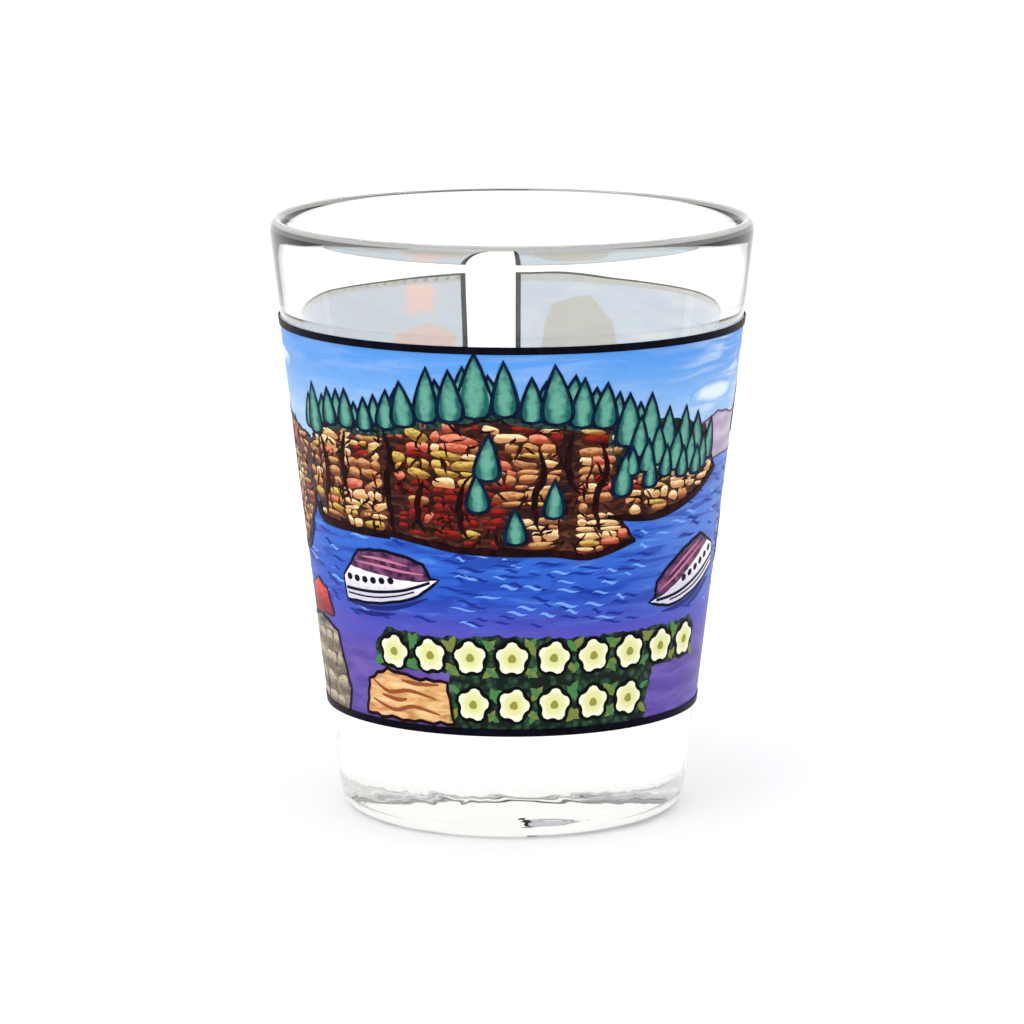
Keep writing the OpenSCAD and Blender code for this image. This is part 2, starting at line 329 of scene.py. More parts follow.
def boulder_paint(net, x, y):
    beds = net.noise(net.vector(x * 0.3, y * 0.9), 1.0, detail=4, distortion=1.0)
    return net.stops(beds, [(0.3, (48, 40, 40)), (0.48, (118, 106, 90)),
                            (0.7, (166, 152, 128))])


def sand_paint(net, x, y):
    beds = net.noise(net.vector(x * 0.3, y * 1.3), 1.0, detail=3, distortion=0.7)
    return net.stops(beds, [(0.3, (186, 122, 70)), (0.5, (228, 178, 118)),
                            (0.75, (246, 214, 160))])


def foliage_paint(net, x, y):
    leaves = net.cells(net.vector(x, y), 1.3)
    return net.blend(leaves.ramp(0.1, 0.7), (46, 84, 56), (14, 26, 24))


def mottled(dark, light, scale=1.0):
    """Paint in soft patches of two colours."""
    def paint(net, x, y):
        patches = net.noise(net.vector(x * scale, y * scale), 1.0, detail=3)
        return net.blend(patches.ramp(0.35, 0.68), dark, light)
    return paint


def bedded(top, foot):
    """Paint from one colour at a block's top to another at its foot, with streaks along the bed."""
    def paint(net, x, y):
        _, up, _ = net.parts(net.attribute("motif"))
        wobble = net.noise(net.vector(x * 1.4, y * 2.0), 1.0)
        streaks = net.noise(net.vector(x * 1.3, y * 5.0), 1.0, detail=3, distortion=0.6)
        fall = net.blend((up + (wobble - 0.5) * 1.2).ramp(-0.5, 0.6), foot, top)
        return net.blend(streaks.ramp(0.52, 0.66) * 0.7, fall, foot)
    return paint


def clear_glass():
    """Soda-lime glass, faintly warm, wavy from the mould, swirled in its foot, greyer and rougher in
    patches on the ring it stands on.
    """
    material, net, shader = new_material("pressed_glass")
    place = net.add("ShaderNodeTexCoord", None, None, out="Object")
    _, _, height = net.parts(place)
    waves = net.noise(place, WAVES, detail=1)
    smear = net.noise(place, SMEARS, detail=2)
    foot = 1.0 - height.ramp(0.002, 0.012)
    ring = (1.0 - height.ramp(0.0001, 0.0009)) * waves.ramp(0.42, 0.58)
    clear = net.blend(waves, (253, 254, 249), (255, 255, 253))
    net.feed(shader.inputs["Base Color"], net.blend(ring * 0.75, clear, (120, 126, 130)))
    net.feed(shader.inputs["Roughness"], smear.ramp(0.55, 0.85) * 0.03 + ring * 0.1)
    swirl = net.noise(place, SWIRL, detail=2, distortion=0.8)
    relief = waves + swirl * foot * 1.6
    bump = net.add("ShaderNodeBump", None, {**GLASS_RELIEF, "Height": relief})
    net.feed(shader.inputs["Normal"], bump)
    shader.inputs["Transmission Weight"].default_value = 1.0
    shader.inputs["IOR"].default_value = 1.5
    return material


# ---- outlines in the drawing's plane
def rugged(outline, step, depth, seed):
    """The closed outline with points every step or so, moved in or out by up to depth."""
    chance = random.Random(seed)
    points = []
    for a, b in zip(outline, outline[1:] + outline[:1]):
        length = math.dist(a, b)
        count = max(1, round(length / step))
        across = ((a[1] - b[1]) / length, (b[0] - a[0]) / length)
        for i in range(count):
            t = i / count
            push = chance.uniform(-depth, depth) if i else 0
            points.append((a[0] + (b[0] - a[0]) * t + across[0] * push,
                           a[1] + (b[1] - a[1]) * t + across[1] * push))
    return points


def bend(four, steps):
    """Points from the second of four points to just short of the third, on a smooth curve through them."""
    a, b, c, d = (Vector(p) for p in four)
    for t in (s / steps for s in range(steps)):
        yield tuple(0.5 * (2 * b + (c - a) * t + (2 * a - 5 * b + 4 * c - d) * t * t
                           + (3 * b - a - 3 * c + d) * t ** 3))


def rounded(outline, steps):
    """The closed outline as a smooth curve through its points."""
    count = len(outline)
    return [p for i in range(count)
            for p in bend([outline[(i + k) % count] for k in (-1, 0, 1, 2)], steps)]


def curve(path, steps=4):
    """A smooth line through the points of a path."""
    ends = [path[0], *path, path[-1]]
    return [p for i in range(len(path) - 1) for p in bend(ends[i:i + 4], steps)] + [tuple(path[-1])]


def placed(outline, at, scale=1.0, tilt=0.0):
    """The outline scaled, tilted by some degrees and moved to a place."""
    c, s = math.cos(math.radians(tilt)), math.sin(math.radians(tilt))
    return [(at[0] + scale * (x * c - y * s), at[1] + scale * (x * s + y * c)) for x, y in outline]


def inside(point, outline):
    x, y = point
    found = False
    for (x0, y0), (x1, y1) in zip(outline, outline[1:] + outline[:1]):
        if (y0 > y) != (y1 > y) and x < x0 + (x1 - x0) * (y - y0) / (y1 - y0):
            found = not found
    return found


def box_of(outline):
    return (min(p[0] for p in outline), min(p[1] for p in outline),
            max(p[0] for p in outline), max(p[1] for p in outline))


def lens(steps, sway=0.0):
    """A stroke one long and one wide with pointed ends, bent to and fro by sway."""
    def side(t, sign):
        return (t - 0.5, sign / 2 * math.sin(math.pi * t) + sway * math.sin(2 * math.pi * t))
    lower = [side(i / steps, -1) for i in range(steps)]
    upper = [side(1 - i / steps, 1) for i in range(steps)]
    return lower + upper


def conifer():
    """A tree one high and one wide on its round foot, drawn in to a point at its top."""
    steps = 8
    rises = [(i / steps) ** 1.7 for i in range(1, steps)]
    right = [(0.5 * math.sin(math.pi * rise ** 0.44) ** 0.8, rise) for rise in rises]
    left = [(-x, y) for x, y in reversed(right)]
    return [(0, 0), *right, (0, 1), *left]


def petalled(petals, depth, steps):
    """A disc of radius one cut into round petals."""
    count = petals * steps
    points = []
    for i in range(count):
        a = 2 * math.pi * i / count
        r = 1 - depth + depth * abs(math.cos(petals * a / 2)) ** 0.7
        points.append((r * math.sin(-a), r * math.cos(a)))
    return points


# ---- flat drawings
class Drawing:
    """Thin closed plates of enamel, drawn flat in millimetres."""

    def __init__(self):
        self.points = []
        self.faces = []
        self.local = []

    def sheet(self, flat, triangles, layer, local=None):
        """A plate from a flat triangulation: its top, its underside and the wall round its edge."""
        start, count = len(self.points), len(flat)
        under, over = layer
        for lift in (under, over):
            self.points += [(x, y, lift) for x, y in flat]
            self.local += [(u, v, 0) for u, v in local or [(0, 0)] * count]
        edges = set()
        for a, b, c in triangles:
            self.faces.append((start + count + a, start + count + b, start + count + c))
            self.faces.append((start + c, start + b, start + a))
            edges |= {(a, b), (b, c), (c, a)}
        for a, b in edges:
            if (b, a) not in edges:
                self.faces.append((start + count + a, start + a, start + b, start + count + b))

    def plate(self, outline, layer, cell=1.2):
        """A filled outline. Each point's place across and up the outline goes with it, from -1 to 1."""
        flat, triangles = filled(outline, cell)
        x0, y0, x1, y1 = box_of(outline)
        local = [(2 * (x - x0) / (x1 - x0) - 1, 2 * (y - y0) / (y1 - y0) - 1) for x, y in flat]
        self.sheet(flat, triangles, layer, local)

    def ribbon(self, path, width, layer, closed=False, taper=0.0):
        """A line of ink along a path, thinner towards its ends by taper."""
        count = len(path)
        left, right = [], []
        for i, p in enumerate(path):
            before = path[(i - 1) % count] if closed or i else p
            after = path[(i + 1) % count] if closed or i < count - 1 else p
            dx, dy = after[0] - before[0], after[1] - before[1]
            length = math.hypot(dx, dy) or 1
            half = width / 2 * (1 - taper * (1 - math.sin(math.pi * i / (count - 1))))
            left.append((p[0] - dy / length * half, p[1] + dx / length * half))
            right.append((p[0] + dy / length * half, p[1] - dx / length * half))
        self.band(left, right, layer, closed)

    def band(self, left, right, layer, closed):
        """The strip between two paths of as many points, the left one on the left of its run."""
        count = len(left)
        triangles = []
        for i in range(count if closed else count - 1):
            j = (i + 1) % count
            triangles += [(i, count + i, count + j), (i, count + j, j)]
        self.sheet(left + right, triangles, layer)

    def mesh(self, name):
        mesh = bpy.data.meshes.new(name)
        mesh.from_pydata(self.points, [], self.faces)
        put(mesh, "motif", "FLOAT_VECTOR", "vector", self.local)
        return mesh


def put(mesh, name, kind, field, values):
    """Stores one value for each point."""
    flat = [v for value in values for v in value] if field == "vector" else values
    mesh.attributes.new(name, kind, "POINT").data.foreach_set(field, flat)


def filled(outline, cell):
    """A triangulation of the outline's inside, with points enough to bend round the glass."""
    x0, y0, x1, y1 = box_of(outline)
    points = [Vector(p) for p in outline]
    edges = [(i, (i + 1) % len(outline)) for i in range(len(outline))]
    columns, rows = int((x1 - x0) / cell), int((y1 - y0) / cell)
    for i in range(1, columns + 1):
        for j in range(1, rows + 1):
            p = (x0 + (x1 - x0) * i / (columns + 1), y0 + (y1 - y0) * j / (rows + 1))
            if inside(p, outline):
                points.append(Vector(p))
    made, _, triangles, *_ = delaunay_2d_cdt(points, edges, [], 1, 1e-5)
    flat = [tuple(p) for p in made]
    return flat, [turned(flat, t) for t in triangles]


def turned(flat, t):
    """The triangle with its corners anticlockwise."""
    a, b, c = (flat[i] for i in t)
    area = (b[0] - a[0]) * (c[1] - a[1]) - (c[0] - a[0]) * (b[1] - a[1])
    return tuple(t) if area > 0 else (t[0], t[2], t[1])


# ---- wrapping drawings round the glass
# Number inputs of the wrapping tree
WRAP_SIZES = {"Foot Radius": FOOT_RADIUS, "Slope": SLOPE, "Wrap Radius": WRAP_RADIUS, "Unit": MM}


def wrap_tree(name, with_motif):
    """Geometry nodes that bend a flat drawing, or motifs scattered on its points, onto the wall."""
    tree = bpy.data.node_groups.new(name, "GeometryNodeTree")
    sockets = tree.interface
    sockets.new_socket(name="Drawing", in_out="INPUT", socket_type="NodeSocketGeometry")
    for size, value in WRAP_SIZES.items():
        socket = sockets.new_socket(name=size, in_out="INPUT", socket_type="NodeSocketFloat")
        socket.default_value = value
    sockets.new_socket(name="Enamel", in_out="INPUT", socket_type="NodeSocketMaterial")
    if with_motif:
        sockets.new_socket(name="Motif", in_out="INPUT", socket_type="NodeSocketObject")
    sockets.new_socket(name="Print", in_out="OUTPUT", socket_type="NodeSocketGeometry")
    net = Net(tree)
    given = net.add("NodeGroupInput", out="Drawing")
    shape = scatter(net, given) if with_motif else given
    drawn = net.add("GeometryNodeInputPosition")
    settings = {"data_type": "FLOAT_VECTOR", "domain": "POINT"}
    kept = net.add("GeometryNodeStoreNamedAttribute", settings,
                   {"Geometry": shape, "Name": "drawing", "Value": drawn})
    x, y, lift = net.parts(drawn)
    radius = given.other("Foot Radius") + given.other("Slope") * y + lift
    angle = x / given.other("Wrap Radius")
    bent = net.vector(radius * net.math("SINE", angle), radius * net.math("COSINE", angle) * -1.0, y)
    scale = {"operation": "SCALE"}
    bent = net.add("ShaderNodeVectorMath", scale, {0: bent, "Scale": given.other("Unit")})
    moved = net.add("GeometryNodeSetPosition", None, {"Geometry": kept, "Position": bent})
    real = net.add("GeometryNodeRealizeInstances", None, {"Geometry": moved})
    done = net.add("GeometryNodeSetMaterial", None, {"Geometry": real, "Material": given.other("Enamel")})
    net.add("NodeGroupOutput", None, {"Print": done})
    return tree


def scatter(net, given):
    """A motif on each point of the drawing, by the point's own size and tilt."""
    motif = net.add("GeometryNodeObjectInfo", None, {"Object": given.other("Motif")}, out="Geometry")
    size = net.add("GeometryNodeInputNamedAttribute", {"data_type": "FLOAT_VECTOR"}, {"Name": "size"})
    tilt = net.add("GeometryNodeInputNamedAttribute", {"data_type": "FLOAT"}, {"Name": "tilt"})
    turn = net.add("FunctionNodeEulerToRotation", None, {0: net.vector(0.0, 0.0, tilt)})
    inputs = {"Points": given, "Instance": motif, "Rotation": turn, "Scale": size}
    on_points = net.add("GeometryNodeInstanceOnPoints", None, inputs)
    return net.add("GeometryNodeRealizeInstances", None, {"Geometry": on_points})


WRAP = wrap_tree("wrap_round_wall", with_motif=False)
SCATTER = wrap_tree("scatter_round_wall", with_motif=True)


def shown(name, mesh):
    thing = bpy.data.objects.new(name, mesh)
    bpy.context.scene.collection.objects.link(thing)
    return thing


def wrapped(mesh, ink, motif=None):
    """The drawing in one ink as a finished plain mesh on the glass, named for its ink."""
    flat = shown(ink.name + "_flat", mesh)
    modifier = flat.modifiers.new("wrap", "NODES")
    modifier.node_group = SCATTER if motif else WRAP
    values = {"Enamel": ink, "Motif": motif}
    for item in modifier.node_group.interface.items_tree:
        if item.in_out == "INPUT" and item.name in values:
            modifier[item.identifier] = values[item.name]
    graph = bpy.context.evaluated_depsgraph_get()
    made = bpy.data.meshes.new_from_object(flat.evaluated_get(graph), preserve_all_data_layers=True,
                                           depsgraph=graph)
    made.name = ink.name
    bpy.data.objects.remove(flat)
    made.shade_smooth()
    made.set_sharp_from_angle(angle=math.radians(35))
    return shown(ink.name, made)


def fitted(piece, slot, *nodes):
    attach(piece, BODY)
    if nodes:
        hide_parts(*nodes)


def printed(name, drawing, paint, slot, *nodes, **finish):
    """A finished film of enamel that stands for some CAD films."""
    fitted(wrapped(drawing.mesh(name), enamel(name, paint, **finish)), slot, *nodes)


def scattered(name, outline, spots, paint, slot, *nodes, thick=0.02, cell=1.2, **finish):
    """One motif put on many spots, each (x, y, lift, width, height, tilt in degrees)."""
    motif_drawing = Drawing()
    motif_drawing.plate(outline, (0, thick), cell=cell)
    motif = shown(name + "_motif", motif_drawing.mesh(name + "_motif"))
    points = bpy.data.meshes.new(name)
    points.from_pydata([s[:3] for s in spots], [], [])
    put(points, "size", "FLOAT_VECTOR", "vector", [(s[3], s[4], 1) for s in spots])
    put(points, "tilt", "FLOAT", "value", [math.radians(s[5]) for s in spots])
    piece = wrapped(points, enamel(name, paint, **finish), motif)
    bpy.data.objects.remove(motif)
    fitted(piece, slot, *nodes)


# ---- the glass
def arc(centre, radius, start, end, steps):
    """Points on an arc, from one angle to another in degrees."""
    angles = [math.radians(start + (end - start) * i / steps) for i in range(steps + 1)]
    return [(centre[0] + radius * math.cos(a), centre[1] + radius * math.sin(a)) for a in angles]


def line(a, b, steps):
    """Points between two others, without the first and the last."""
    return [(a[0] + (b[0] - a[0]) * i / steps, a[1] + (b[1] - a[1]) * i / steps) for i in range(1, steps)]


def outer(z):
    return FOOT_RADIUS + SLOPE * z


def bore(z):
    return FLOOR_RADIUS + BORE_SLOPE * (z - BASE_DEPTH)


def lip_curve():
    """The fire-polished lip: a tall half ellipse between the wall's two faces."""
    steps = 18
    foot = HEIGHT - LIP_RISE
    half = (outer(foot) - bore(foot)) / 2
    points = []
    for i in range(steps + 1):
        a = math.pi * i / steps
        z = foot + LIP_RISE * math.sin(a)
        points.append(((outer(z) + bore(z)) / 2 + half * math.cos(a), z))
    return points


def glass_profile():
    """Radius and height from the middle of the underside, over the lip, to the middle of the floor."""
    wall, bore_turn = math.degrees(WALL_ANGLE), math.degrees(BORE_ANGLE)
    heel_centre = (outer(HEEL_RADIUS) - HEEL_RADIUS / math.cos(WALL_ANGLE), HEEL_RADIUS)
    fillet_height = BASE_DEPTH + FLOOR_FILLET
    fillet_centre = (bore(fillet_height) - FLOOR_FILLET / math.cos(BORE_ANGLE), fillet_height)
    dome = (HOLLOW_RADIUS ** 2 + HOLLOW_DEPTH ** 2) / (2 * HOLLOW_DEPTH)
    dome_edge = math.degrees(math.asin(HOLLOW_RADIUS / dome))
    under = arc((0, HOLLOW_DEPTH - dome), dome, 90, 90 - dome_edge, 14)
    heel = arc(heel_centre, HEEL_RADIUS, -90, -wall, 10)
    rim = lip_curve()
    corner = arc(fillet_centre, FLOOR_FILLET, -bore_turn, -90, 14)
    floor = line(corner[-1], (0, BASE_DEPTH), 8)
    crease = [(HOLLOW_RADIUS - CREASE, CREASE_RISE), (HOLLOW_RADIUS, 0.0), (HOLLOW_RADIUS + CREASE, 0),
              (heel[0][0] - CREASE, 0)]
    return (under[:-1] + crease + heel
            + line(heel[-1], rim[0], 30) + rim + line(rim[-1], corner[0], 26) + corner + floor
            + [(0, BASE_DEPTH)])


def revolved(name, profile, segments):
    """A closed solid of revolution. The profile's two ends lie on the axis."""
    points, faces = [], []
    ends = [(0, 0, profile[0][1]), (0, 0, profile[-1][1])]
    for r, z in profile[1:-1]:
        for i in range(segments):
            a = 2 * math.pi * i / segments
            points.append((r * math.cos(a), r * math.sin(a), z))
    rings = len(profile) - 2
    for k in range(rings - 1):
        for i in range(segments):
            j = (i + 1) % segments
            lower, upper = k * segments, (k + 1) * segments
            faces.append((lower + i, lower + j, upper + j, upper + i))
    bottom, top = len(points), len(points) + 1
    points += ends
    last = (rings - 1) * segments
    for i in range(segments):
        j = (i + 1) % segments
        faces.append((bottom, j, i))
        faces.append((top, last + i, last + j))
    mesh = bpy.data.meshes.new(name)
    mesh.from_pydata([(x * MM, y * MM, z * MM) for x, y, z in points], [], faces)
    mesh.shade_smooth()
    return mesh


def make_glass():
    mesh = revolved("glass_tumbler", glass_profile(), 192)
    mesh.materials.append(clear_glass())
    fitted(shown("glass_tumbler", mesh), "clear_glass", "glass_body")


# ---- the landscape's outlines
LEFT_BLUFF = [(-22.6, 31.4), (-17, 31), (-12.8, 30.8), (-12.2, 35), (-13.2, 37.6), (-12.4, 41),
              (-15, 41.8), (-19, 41.4), (-22, 40.2), (-24, 38.6), (-24, 34)]
MAIN_BLUFF = [(-13.4, 31.2), (-5, 30), (4.6, 29.8), (4.6, 42.6), (0, 43.4), (-4, 42.4), (-8, 43),
              (-12, 41.8), (-13.8, 40.4)]
RIGHT_BLUFF = [(4, 29.8), (8, 29.2), (12.6, 30.4), (10.4, 33), (9.6, 37), (11.4, 41.2), (8, 42.4),
               (4, 42.8)]
RIGHT_SHORE = [(9, 33), (15, 32.6), (20.6, 34), (24.6, 36.2), (23.6, 37.4), (19, 37), (14, 38),
               (10, 40.6), (8.6, 37)]
LEFT_BANK = [(-36, 28), (-29, 27.4), (-25.6, 30.4), (-23, 34), (-23, 39), (-29, 40.6), (-36, 41.6)]
SIDE_BANK = [(-48, 30.6), (-42, 29), (-35.4, 28.4), (-35.4, 41), (-41, 42.6), (-46, 40)]
END_STACK = [(52, 31), (58, 30.4), (63, 31), (63.6, 40), (62, 47.4), (58, 48.4), (55, 45.6), (53, 39)]
END_LEDGES = [(-60, 31), (-53, 30.4), (-49, 32), (-50.4, 40), (-53, 44.6), (-57, 45.6), (-60, 44)]
FAR_HILLS = [(20, 37), (40, 37), (51, 37.4), (50, 38.8), (45.4, 40), (40, 41.4), (34, 42.6), (29, 41),
             (24, 41.8), (20, 40.8)]
FOREST = [(9, 38.4), (14.6, 36.6), (20, 36.2), (24, 36.8), (21.6, 41), (16, 42.4), (9.4, 42.2)]
LEFT_BOULDER = [(-34, 10.9), (-22, 10.9), (-20.8, 14), (-22.4, 19.6), (-27, 20.8), (-34, 19.6)]
BACK_BOULDER = [(40, 10.9), (52, 10.9), (53, 13.6), (49.6, 18.4), (44, 19.4), (40.6, 16)]
SAND_ROCK = [(-18, 12), (-12, 11.9), (-6.4, 12), (-7, 16.2), (-11, 16.4), (-14.4, 17), (-17.2, 15.6)]
FOLIAGE = [(-15.4, 17.2), (-6.6, 17.2), (-7, 11.4), (5, 11.3), (16, 11.6), (16.6, 16.8), (24, 17),
           (24.4, 19.6), (23, 21.2), (14, 20.9), (5, 21), (-2, 21.2), (-8, 20.9), (-14, 21.3),
           (-15.8, 19.4)]

BLUFFS = [rugged(o, 0.7, 0.16, 10 + i) for i, o in enumerate(
    [LEFT_BLUFF, MAIN_BLUFF, RIGHT_BLUFF, RIGHT_SHORE, LEFT_BANK, SIDE_BANK, END_STACK, END_LEDGES])]
BOULDERS = [[(x, max(y, PRINT_LOW + INSET)) for x, y in rugged(o, 0.9, 0.12, 30 + i)]
            for i, o in enumerate([LEFT_BOULDER, BACK_BOULDER])]
FOOT_STRIP = [(-70, 0), (70, 0), (70, PRINT_LOW + 0.3), (-70, PRINT_LOW + 0.3)]
# Each region of the picture and its ink; an earlier one lies over a later one
REGIONS = ([("boulder", o) for o in BOULDERS] + [("sand", rugged(SAND_ROCK, 0.8, 0.15, 40))]
           + [("foliage", rugged(FOLIAGE, 0.6, 0.22, 41)), ("foliage", rugged(FOREST, 0.6, 0.2, 42))]
           + [("rock", o) for o in BLUFFS] + [("hill", rugged(FAR_HILLS, 1.2, 0.12, 43))])


# ---- the ground colours as one mosaic
def shallows_line(x):
    return SHALLOWS + 0.35 * math.sin(x * 0.55) + 0.2 * math.sin(x * 1.3 + 1)


def ink_at(point):
    for ink, outline in REGIONS:
        x0, y0, x1, y1 = box_of(outline)
        if x0 <= point[0] <= x1 and y0 <= point[1] <= y1 and inside(point, outline):
            return ink
    if point[1] < shallows_line(point[0]):
        return "violet"
    return "river" if point[1] < HORIZON else "sky"


def wrap_grid(step):
    """Points over the whole print, to just inside the black line's outer edge."""
    columns = round((WRAP_RIGHT - WRAP_LEFT) / step)
    rows = round((PRINT_HIGH - PRINT_LOW) / step)
    x0, x1, y0, y1 = WRAP_LEFT + INSET, WRAP_RIGHT - INSET, PRINT_LOW + INSET, PRINT_HIGH - INSET
    return [(x0 + (x1 - x0) * i / columns, y0 + (y1 - y0) * j / rows)
            for j in range(rows + 1) for i in range(columns + 1)]


def make_mosaic():
    """One triangulation of the print, shared out among the inks, so that the films meet edge to edge."""
    points = [Vector(p) for p in wrap_grid(1.3)]
    edges = []
    lines = [(o, True) for _, o in REGIONS]
    steps = 160
    xs = [WRAP_LEFT + INSET + (WRAP_RIGHT - WRAP_LEFT - 2 * INSET) * i / steps for i in range(steps + 1)]
    lines.append(([(x, shallows_line(x)) for x in xs], False))
    lines.append(([(x, HORIZON) for x in xs], False))
    for path, closed in lines:
        start = len(points)
        points += [Vector(p) for p in path]
        edges += [(start + i, start + i + 1) for i in range(len(path) - 1)]
        if closed:
            edges.append((start + len(path) - 1, start))
    made, _, triangles, *_ = delaunay_2d_cdt(points, edges, [], 0, 1e-5)
    flat = [tuple(p) for p in made]
    shares = {}
    for t in triangles:
        centre = [sum(flat[i][k] for i in t) / 3 for k in (0, 1)]
        if PRINT_LOW < centre[1] < PRINT_HIGH:
            shares.setdefault(ink_at(centre), []).append(turned(flat, t))
    for ink, (name, paint, slot, node) in GROUND_INKS.items():
        used = sorted({i for t in shares[ink] for i in t})
        number = {old: new for new, old in enumerate(used)}
        drawing = Drawing()
        drawing.sheet([flat[i] for i in used], [tuple(number[i] for i in t) for t in shares[ink]], GROUND)
        printed(name, drawing, paint, slot, node)


GROUND_INKS = {
    "sky": ("sky_film", sky_paint, "sky_enamel", "sky_ink"),
    "hill": ("hill_film", hill_paint, "mauve_enamel", "hill_ink"),
    "rock": ("rock_film", rock_paint, "tan_enamel", "rock_ink"),
    "river": ("river_film", river_paint, "blue_enamel", "river_ink"),
    "violet": ("violet_water_film", violet_paint, "violet_enamel", "violet_water_ink"),
    "boulder": ("boulder_film", boulder_paint, "grey_brown_enamel", "boulder_ink"),
    "sand": ("sand_film", sand_paint, "sand_enamel", "sand_ink"),
    "foliage": ("foliage_film", foliage_paint, "dark_green_enamel", "foliage_ink"),
}


def print_edge(x, y):
    """The print's outline, drawn in by x at its ends and y at its top and foot."""
    step = 1.2
    x0, x1, y0, y1 = WRAP_LEFT + x, WRAP_RIGHT - x, PRINT_LOW + y, PRINT_HIGH - y
    across = round((WRAP_RIGHT - WRAP_LEFT) / step)
    up = round((PRINT_HIGH - PRINT_LOW) / (2 * step))
    return ([(x0 + (x1 - x0) * i / across, y0) for i in range(across)]
            + [(x1, y0 + (y1 - y0) * i / up) for i in range(up)]
            + [(x1 + (x0 - x1) * i / across, y1) for i in range(across)]
            + [(x0, y1 + (y0 - y1) * i / up) for i in range(up)])


def make_underprint():
    """Translucent white under all the colours but the two end lines, partly lit through by the room, with
    painted light from its emission for the rest.
    """
    drawing = Drawing()
    drawing.plate(print_edge(END_LINE_WIDTH - INSET, LAP), UNDERPRINT)
    # The underprint's emission is painted light, standing in for the room's light through the print
    printed("underprint_film", drawing, plain(246, 246, 242), "white_enamel", "white_underprint",
            gloss=0.5, grain=0.05, alpha=0.31, glow=0.55)


def make_border():
    """The black line round the print: under and over the colours' edges, and on bare glass at the ends."""
    border = Drawing()
    border.band(print_edge(END_LINE_WIDTH - LAP, BORDER_WIDTH - LAP), print_edge(TUCK, TUCK),
                LINE_UNDER_COLOURS, closed=True)
    border.band(print_edge(END_LINE_WIDTH, BORDER_WIDTH), print_edge(0, 0), LINE_OVER_COLOURS, closed=True)
    steps = 30
    heights = [PRINT_LOW + TUCK + (PRINT_HIGH - PRINT_LOW - 2 * TUCK) * i / steps for i in range(steps + 1)]
    for end, side in ((WRAP_LEFT, 1), (WRAP_RIGHT, -1)):
        near, far = ([(end + side * x, y) for y in heights] for x in (TUCK, END_LINE_WIDTH - LAP))
        border.band(*((near, far) if side > 0 else (far, near)), LINE_ON_GLASS, closed=False)
    black = mottled((3, 3, 12), (12, 12, 26))
    printed("border_line", border, black, "black_enamel", "black_line", sheen=0.03)


# ---- bedded rock
# Ink of each kind of slab: colour at its top, colour at its foot, slot
TONES = {
    "tan": ((222, 164, 104), (124, 64, 34), "tan_enamel"),
    "cream": ((250, 226, 172), (196, 138, 84), "cream_enamel"),
    "rust": ((158, 30, 14), (72, 8, 6), "red_brown_enamel"),
    "salmon": ((240, 146, 112), (168, 62, 42), "red_enamel"),
    "olive": ((224, 192, 92), (136, 92, 30), "sand_enamel"),
}
# Where one ink rules: left, right, low, high, and the ink; an earlier one wins
ZONES = [
    (-12.0, -3.6, 36.9, 40.0, "olive"),
    (-11.6, -0.8, 30.0, 36.4, "rust"),
    (-1.4, 1.2, 29.8, 32.4, "salmon"),
    (-14.0, -5.0, 40.0, 43.6, "salmon"),
    (-4.0, 4.0, 40.6, 43.6, "cream"),
    (3.0, 6.4, 32.6, 34.8, "rust"),
    (1.0, 12.8, 29.0, 33.4, "cream"),
    (4.0, 11.4, 38.6, 43.0, "salmon"),
    (-4.0, 4.0, 34.0, 40.6, "tan"),
    (-24.0, -12.4, 30.6, 34.0, "cream"),
    (-24.0, -12.4, 38.4, 42.0, "cream"),
    (-24.0, -12.4, 34.0, 38.4, "tan"),
    (9.0, 25.0, 32.0, 41.0, "cream"),
    (-61.0, -58.0, 40.0, 45.0, "rust"),
    (-58.0, -48.0, 42.0, 47.0, "salmon"),
]


# How many of a zone's blocks are in its own ink, and how the inks share the others
OWN_SHARE = {"rust": 0.86, "other": 0.62}
OTHER_SHARES = {"tan": 4, "cream": 3, "salmon": 3, "olive": 2, "rust": 3}


def tone_at(x, y, chance):
    ruling = next((ink for x0, x1, y0, y1, ink in ZONES if x0 < x < x1 and y0 < y < y1), "tan")
    if chance.random() < OWN_SHARE.get(ruling, OWN_SHARE["other"]):
        return ruling
    return chance.choices(list(OTHER_SHARES), list(OTHER_SHARES.values()))[0]


def pebble(centre, long, tall, tilt, chance):
    """A blunt block with an uneven edge."""
    outline = []
    for i in range(8):
        a = 2 * math.pi * (i + chance.uniform(-0.2, 0.2)) / 8
        swell = chance.uniform(0.74, 1.14)
        across, up = (math.copysign(abs(v) ** 0.7, v) for v in (math.cos(a), math.sin(a)))
        outline.append((long / 2 * across * swell, tall / 2 * up * swell))
    return placed(rounded(outline, 2), centre, tilt=tilt)


def upright_columns(left, right, chance):
    """The upright joints that split a bluff into columns."""
    edges = [left]
    while edges[-1] < right - 3.4:
        edges.append(edges[-1] + chance.uniform(2.0, 4.8))
    edges[-1] = right
    return list(zip(edges, edges[1:]))


def spans(outline, left, right, low, high):
    """The stretches of a row, from low to high, that lie inside an outline."""
    step = 0.2
    found, start = [], None
    for i in range(int((right - left) / step) + 1):
        x = left + i * step
        if inside((x, low), outline) and inside((x, high), outline):
            start = x if start is None else start
        elif start is not None:
            found.append((start, x - step))
            start = None
    if start is not None:
        found.append((start, right))
    return found


def bedding(outline, chance):
    """Blocks of bedded rock inside an outline: (outline of the block, its ink)."""
    x0, y0, x1, y1 = box_of(outline)
    for left, right in upright_columns(x0, x1, chance):
        dip, rough = chance.uniform(-12, 12), chance.choice([5, 14, 30])
        low = y0 + 0.1 + chance.uniform(0, 0.3)
        while low < y1 - 0.4:
            high = low + chance.uniform(0.42, 1.1)
            for a, b in spans(outline, left + 0.1, right - 0.1, low, high):
                yield from course(a, b, low, high, dip, rough, chance)
            low = high + chance.uniform(0.0, 0.1)


